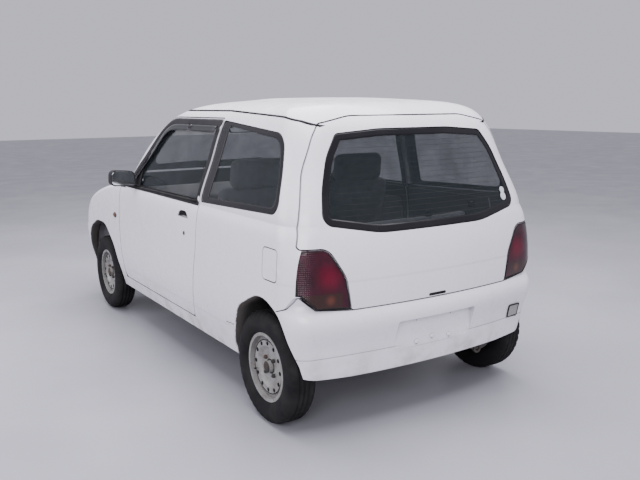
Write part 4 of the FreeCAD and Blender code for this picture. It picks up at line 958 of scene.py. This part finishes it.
def cushion(name, corners, span, finish, node, cap=14):
    """A padded form over a side outline; as cloth it swells by at most cap millimetres."""
    made = slab(name, corners, "X", span, (finish, "seat_cloth"), bevel=30, segments=4)
    CUSHIONS.append((made, cap))
    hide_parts(node)


for side, sign in SIDES:
    cushion(f"seat_cushion_{side}", [(-92, 402, 30), (-88, 492, 48), (340, 536, 60), (372, 412, 40)],
            (sign * 112, sign * 558), SEAT, "front_seats")
    cushion(f"seat_back_{side}", [(392, 432, 30), (524, 1018, 60), (626, 1010, 50), (468, 400, 40)],
            (sign * 116, sign * 554), SEAT_BACK, "front_seats")
    cushion(f"seat_head_{side}", [(528, 1000, 40), (562, 1158, 40), (648, 1154, 40), (628, 990, 40)],
            (sign * 178, sign * 492), SEAT_BACK, "front_seats", 8)
    slab(f"seat_rail_{side}", [(-60, 247, 5), (350, 247, 5), (356, 395, 10), (-66, 395, 10)], "X",
         (sign * 122, sign * 548), CABIN, bevel=8)
cushion("bench_cushion", [(884, 448, 30), (894, 528, 44), (1176, 556, 50), (1230, 436, 30)],
        (-488, 488), SEAT, "rear_seat")
cushion("bench_back", [(1214, 556, 30), (1306, 902, 36), (1366, 884, 20), (1284, 436, 20)],
        (-488, 488), SEAT_BACK, "rear_seat", 9)

CLOTH_VOXEL, CLOTH_PRESSURE, CLOTH_FRAMES = 0.013, 4.0, 20
starts = []
for made, cap in CUSHIONS:
    remesh = made.modifiers.new("remesh", "REMESH")
    remesh.mode = "VOXEL"
    remesh.voxel_size = CLOTH_VOXEL
    ready = bpy.data.meshes.new_from_object(
        made.evaluated_get(bpy.context.evaluated_depsgraph_get()))
    made.modifiers.clear()
    made.data = ready
    starts.append([v.co.copy() for v in ready.vertices])
    blown = made.modifiers.new("cloth", "CLOTH")
    blown.settings.quality = 4
    blown.settings.use_pressure = True
    blown.settings.uniform_pressure_force = CLOTH_PRESSURE
    blown.settings.effector_weights.gravity = 0.0
    blown.point_cache.frame_start, blown.point_cache.frame_end = 1, CLOTH_FRAMES
for moment in range(1, CLOTH_FRAMES + 1):
    scene.frame_set(moment)
depsgraph = bpy.context.evaluated_depsgraph_get()
for (made, cap), start in zip(CUSHIONS, starts):
    end = [v.co.copy() for v in made.evaluated_get(depsgraph).data.vertices]
    made.modifiers.clear()
    for vertex, a, b in zip(made.data.vertices, start, end):
        move = b - a
        if move.length > cap * MM:
            move *= cap * MM / move.length
        vertex.co = a + move
    for polygon in made.data.polygons:
        polygon.use_smooth = True
    finer = made.modifiers.new("finer", "SUBSURF")
    finer.levels = finer.render_levels = 1
scene.frame_set(1)

# Camera of the photograph: its place, its turn, and its focal length in pixels of the picture
CAMERA_PLACE = (2.1878, 4.0624, 1.4377)
AZIMUTH, ELEVATION, ROLL = math.radians(147.01), math.radians(10.62), math.radians(-0.39)
FOCAL_LENGTH, PICTURE_WIDTH, SENSOR_WIDTH = 720.39, 640, 36.0
back = Vector((math.sin(AZIMUTH) * math.cos(ELEVATION), -math.cos(AZIMUTH) * math.cos(ELEVATION),
               math.sin(ELEVATION)))
across = (-back).cross(Vector((0, 0, 1))).normalized()
upward = across.cross(-back)
right = across * math.cos(ROLL) + upward * math.sin(ROLL)
up = -across * math.sin(ROLL) + upward * math.cos(ROLL)
camera = placed("camera", bpy.data.cameras.new("camera"))
camera.data.sensor_width = SENSOR_WIDTH
camera.data.lens = FOCAL_LENGTH * SENSOR_WIDTH / PICTURE_WIDTH
camera.data.clip_start, camera.data.clip_end = 0.05, 200
camera.matrix_world = Matrix.Translation(CAMERA_PLACE) @ Matrix((right, up, back)).transposed().to_4x4()
scene.camera = camera

world = bpy.data.worlds.new("studio")
world.use_nodes = True
backdrop = world.node_tree.nodes["Background"]
backdrop.inputs["Color"].default_value = (0.90, 0.89, 1.0, 1)
backdrop.inputs["Strength"].default_value = 0.74
scene.world = world

# name, place, size, watts, aimed at
LIGHTS = [
    ("ceiling", (0.0, 0.3, 4.6), (5.0, 7.0), 620, (0, 0.3, 0)),
    ("rear_left", (4.5, 6.5, 3.6), (4.0, 3.0), 300, (0.2, 1.2, 0.7)),
    ("left", (6.5, -2.0, 3.2), (4.0, 3.0), 120, (0.3, 0, 0.7)),
]
for name, place, size, watts, target in LIGHTS:
    lamp = bpy.data.lights.new(name, "AREA")
    lamp.shape = "RECTANGLE"
    lamp.size, lamp.size_y = size
    lamp.energy = watts
    lamp.color = (0.96, 0.945, 1.0)
    lit = placed(name, lamp)
    lit.location = place
    lit.rotation_euler = (Vector(target) - Vector(place)).to_track_quat("-Z", "Y").to_euler()

floor_mesh = bpy.data.meshes.new("floor")
floor_mesh.from_pydata([(-30, -30, 0), (30, -30, 0), (30, 30, 0), (-30, 30, 0)], [],
                       [(0, 1, 2, 3)])
floor_mesh.materials.append(plain("floor_paint", (0.33, 0.33, 0.365), (0.37, 0.37, 0.405), 0.42,
                                  grain=10, bump=0.05))
floor = placed("floor", floor_mesh)
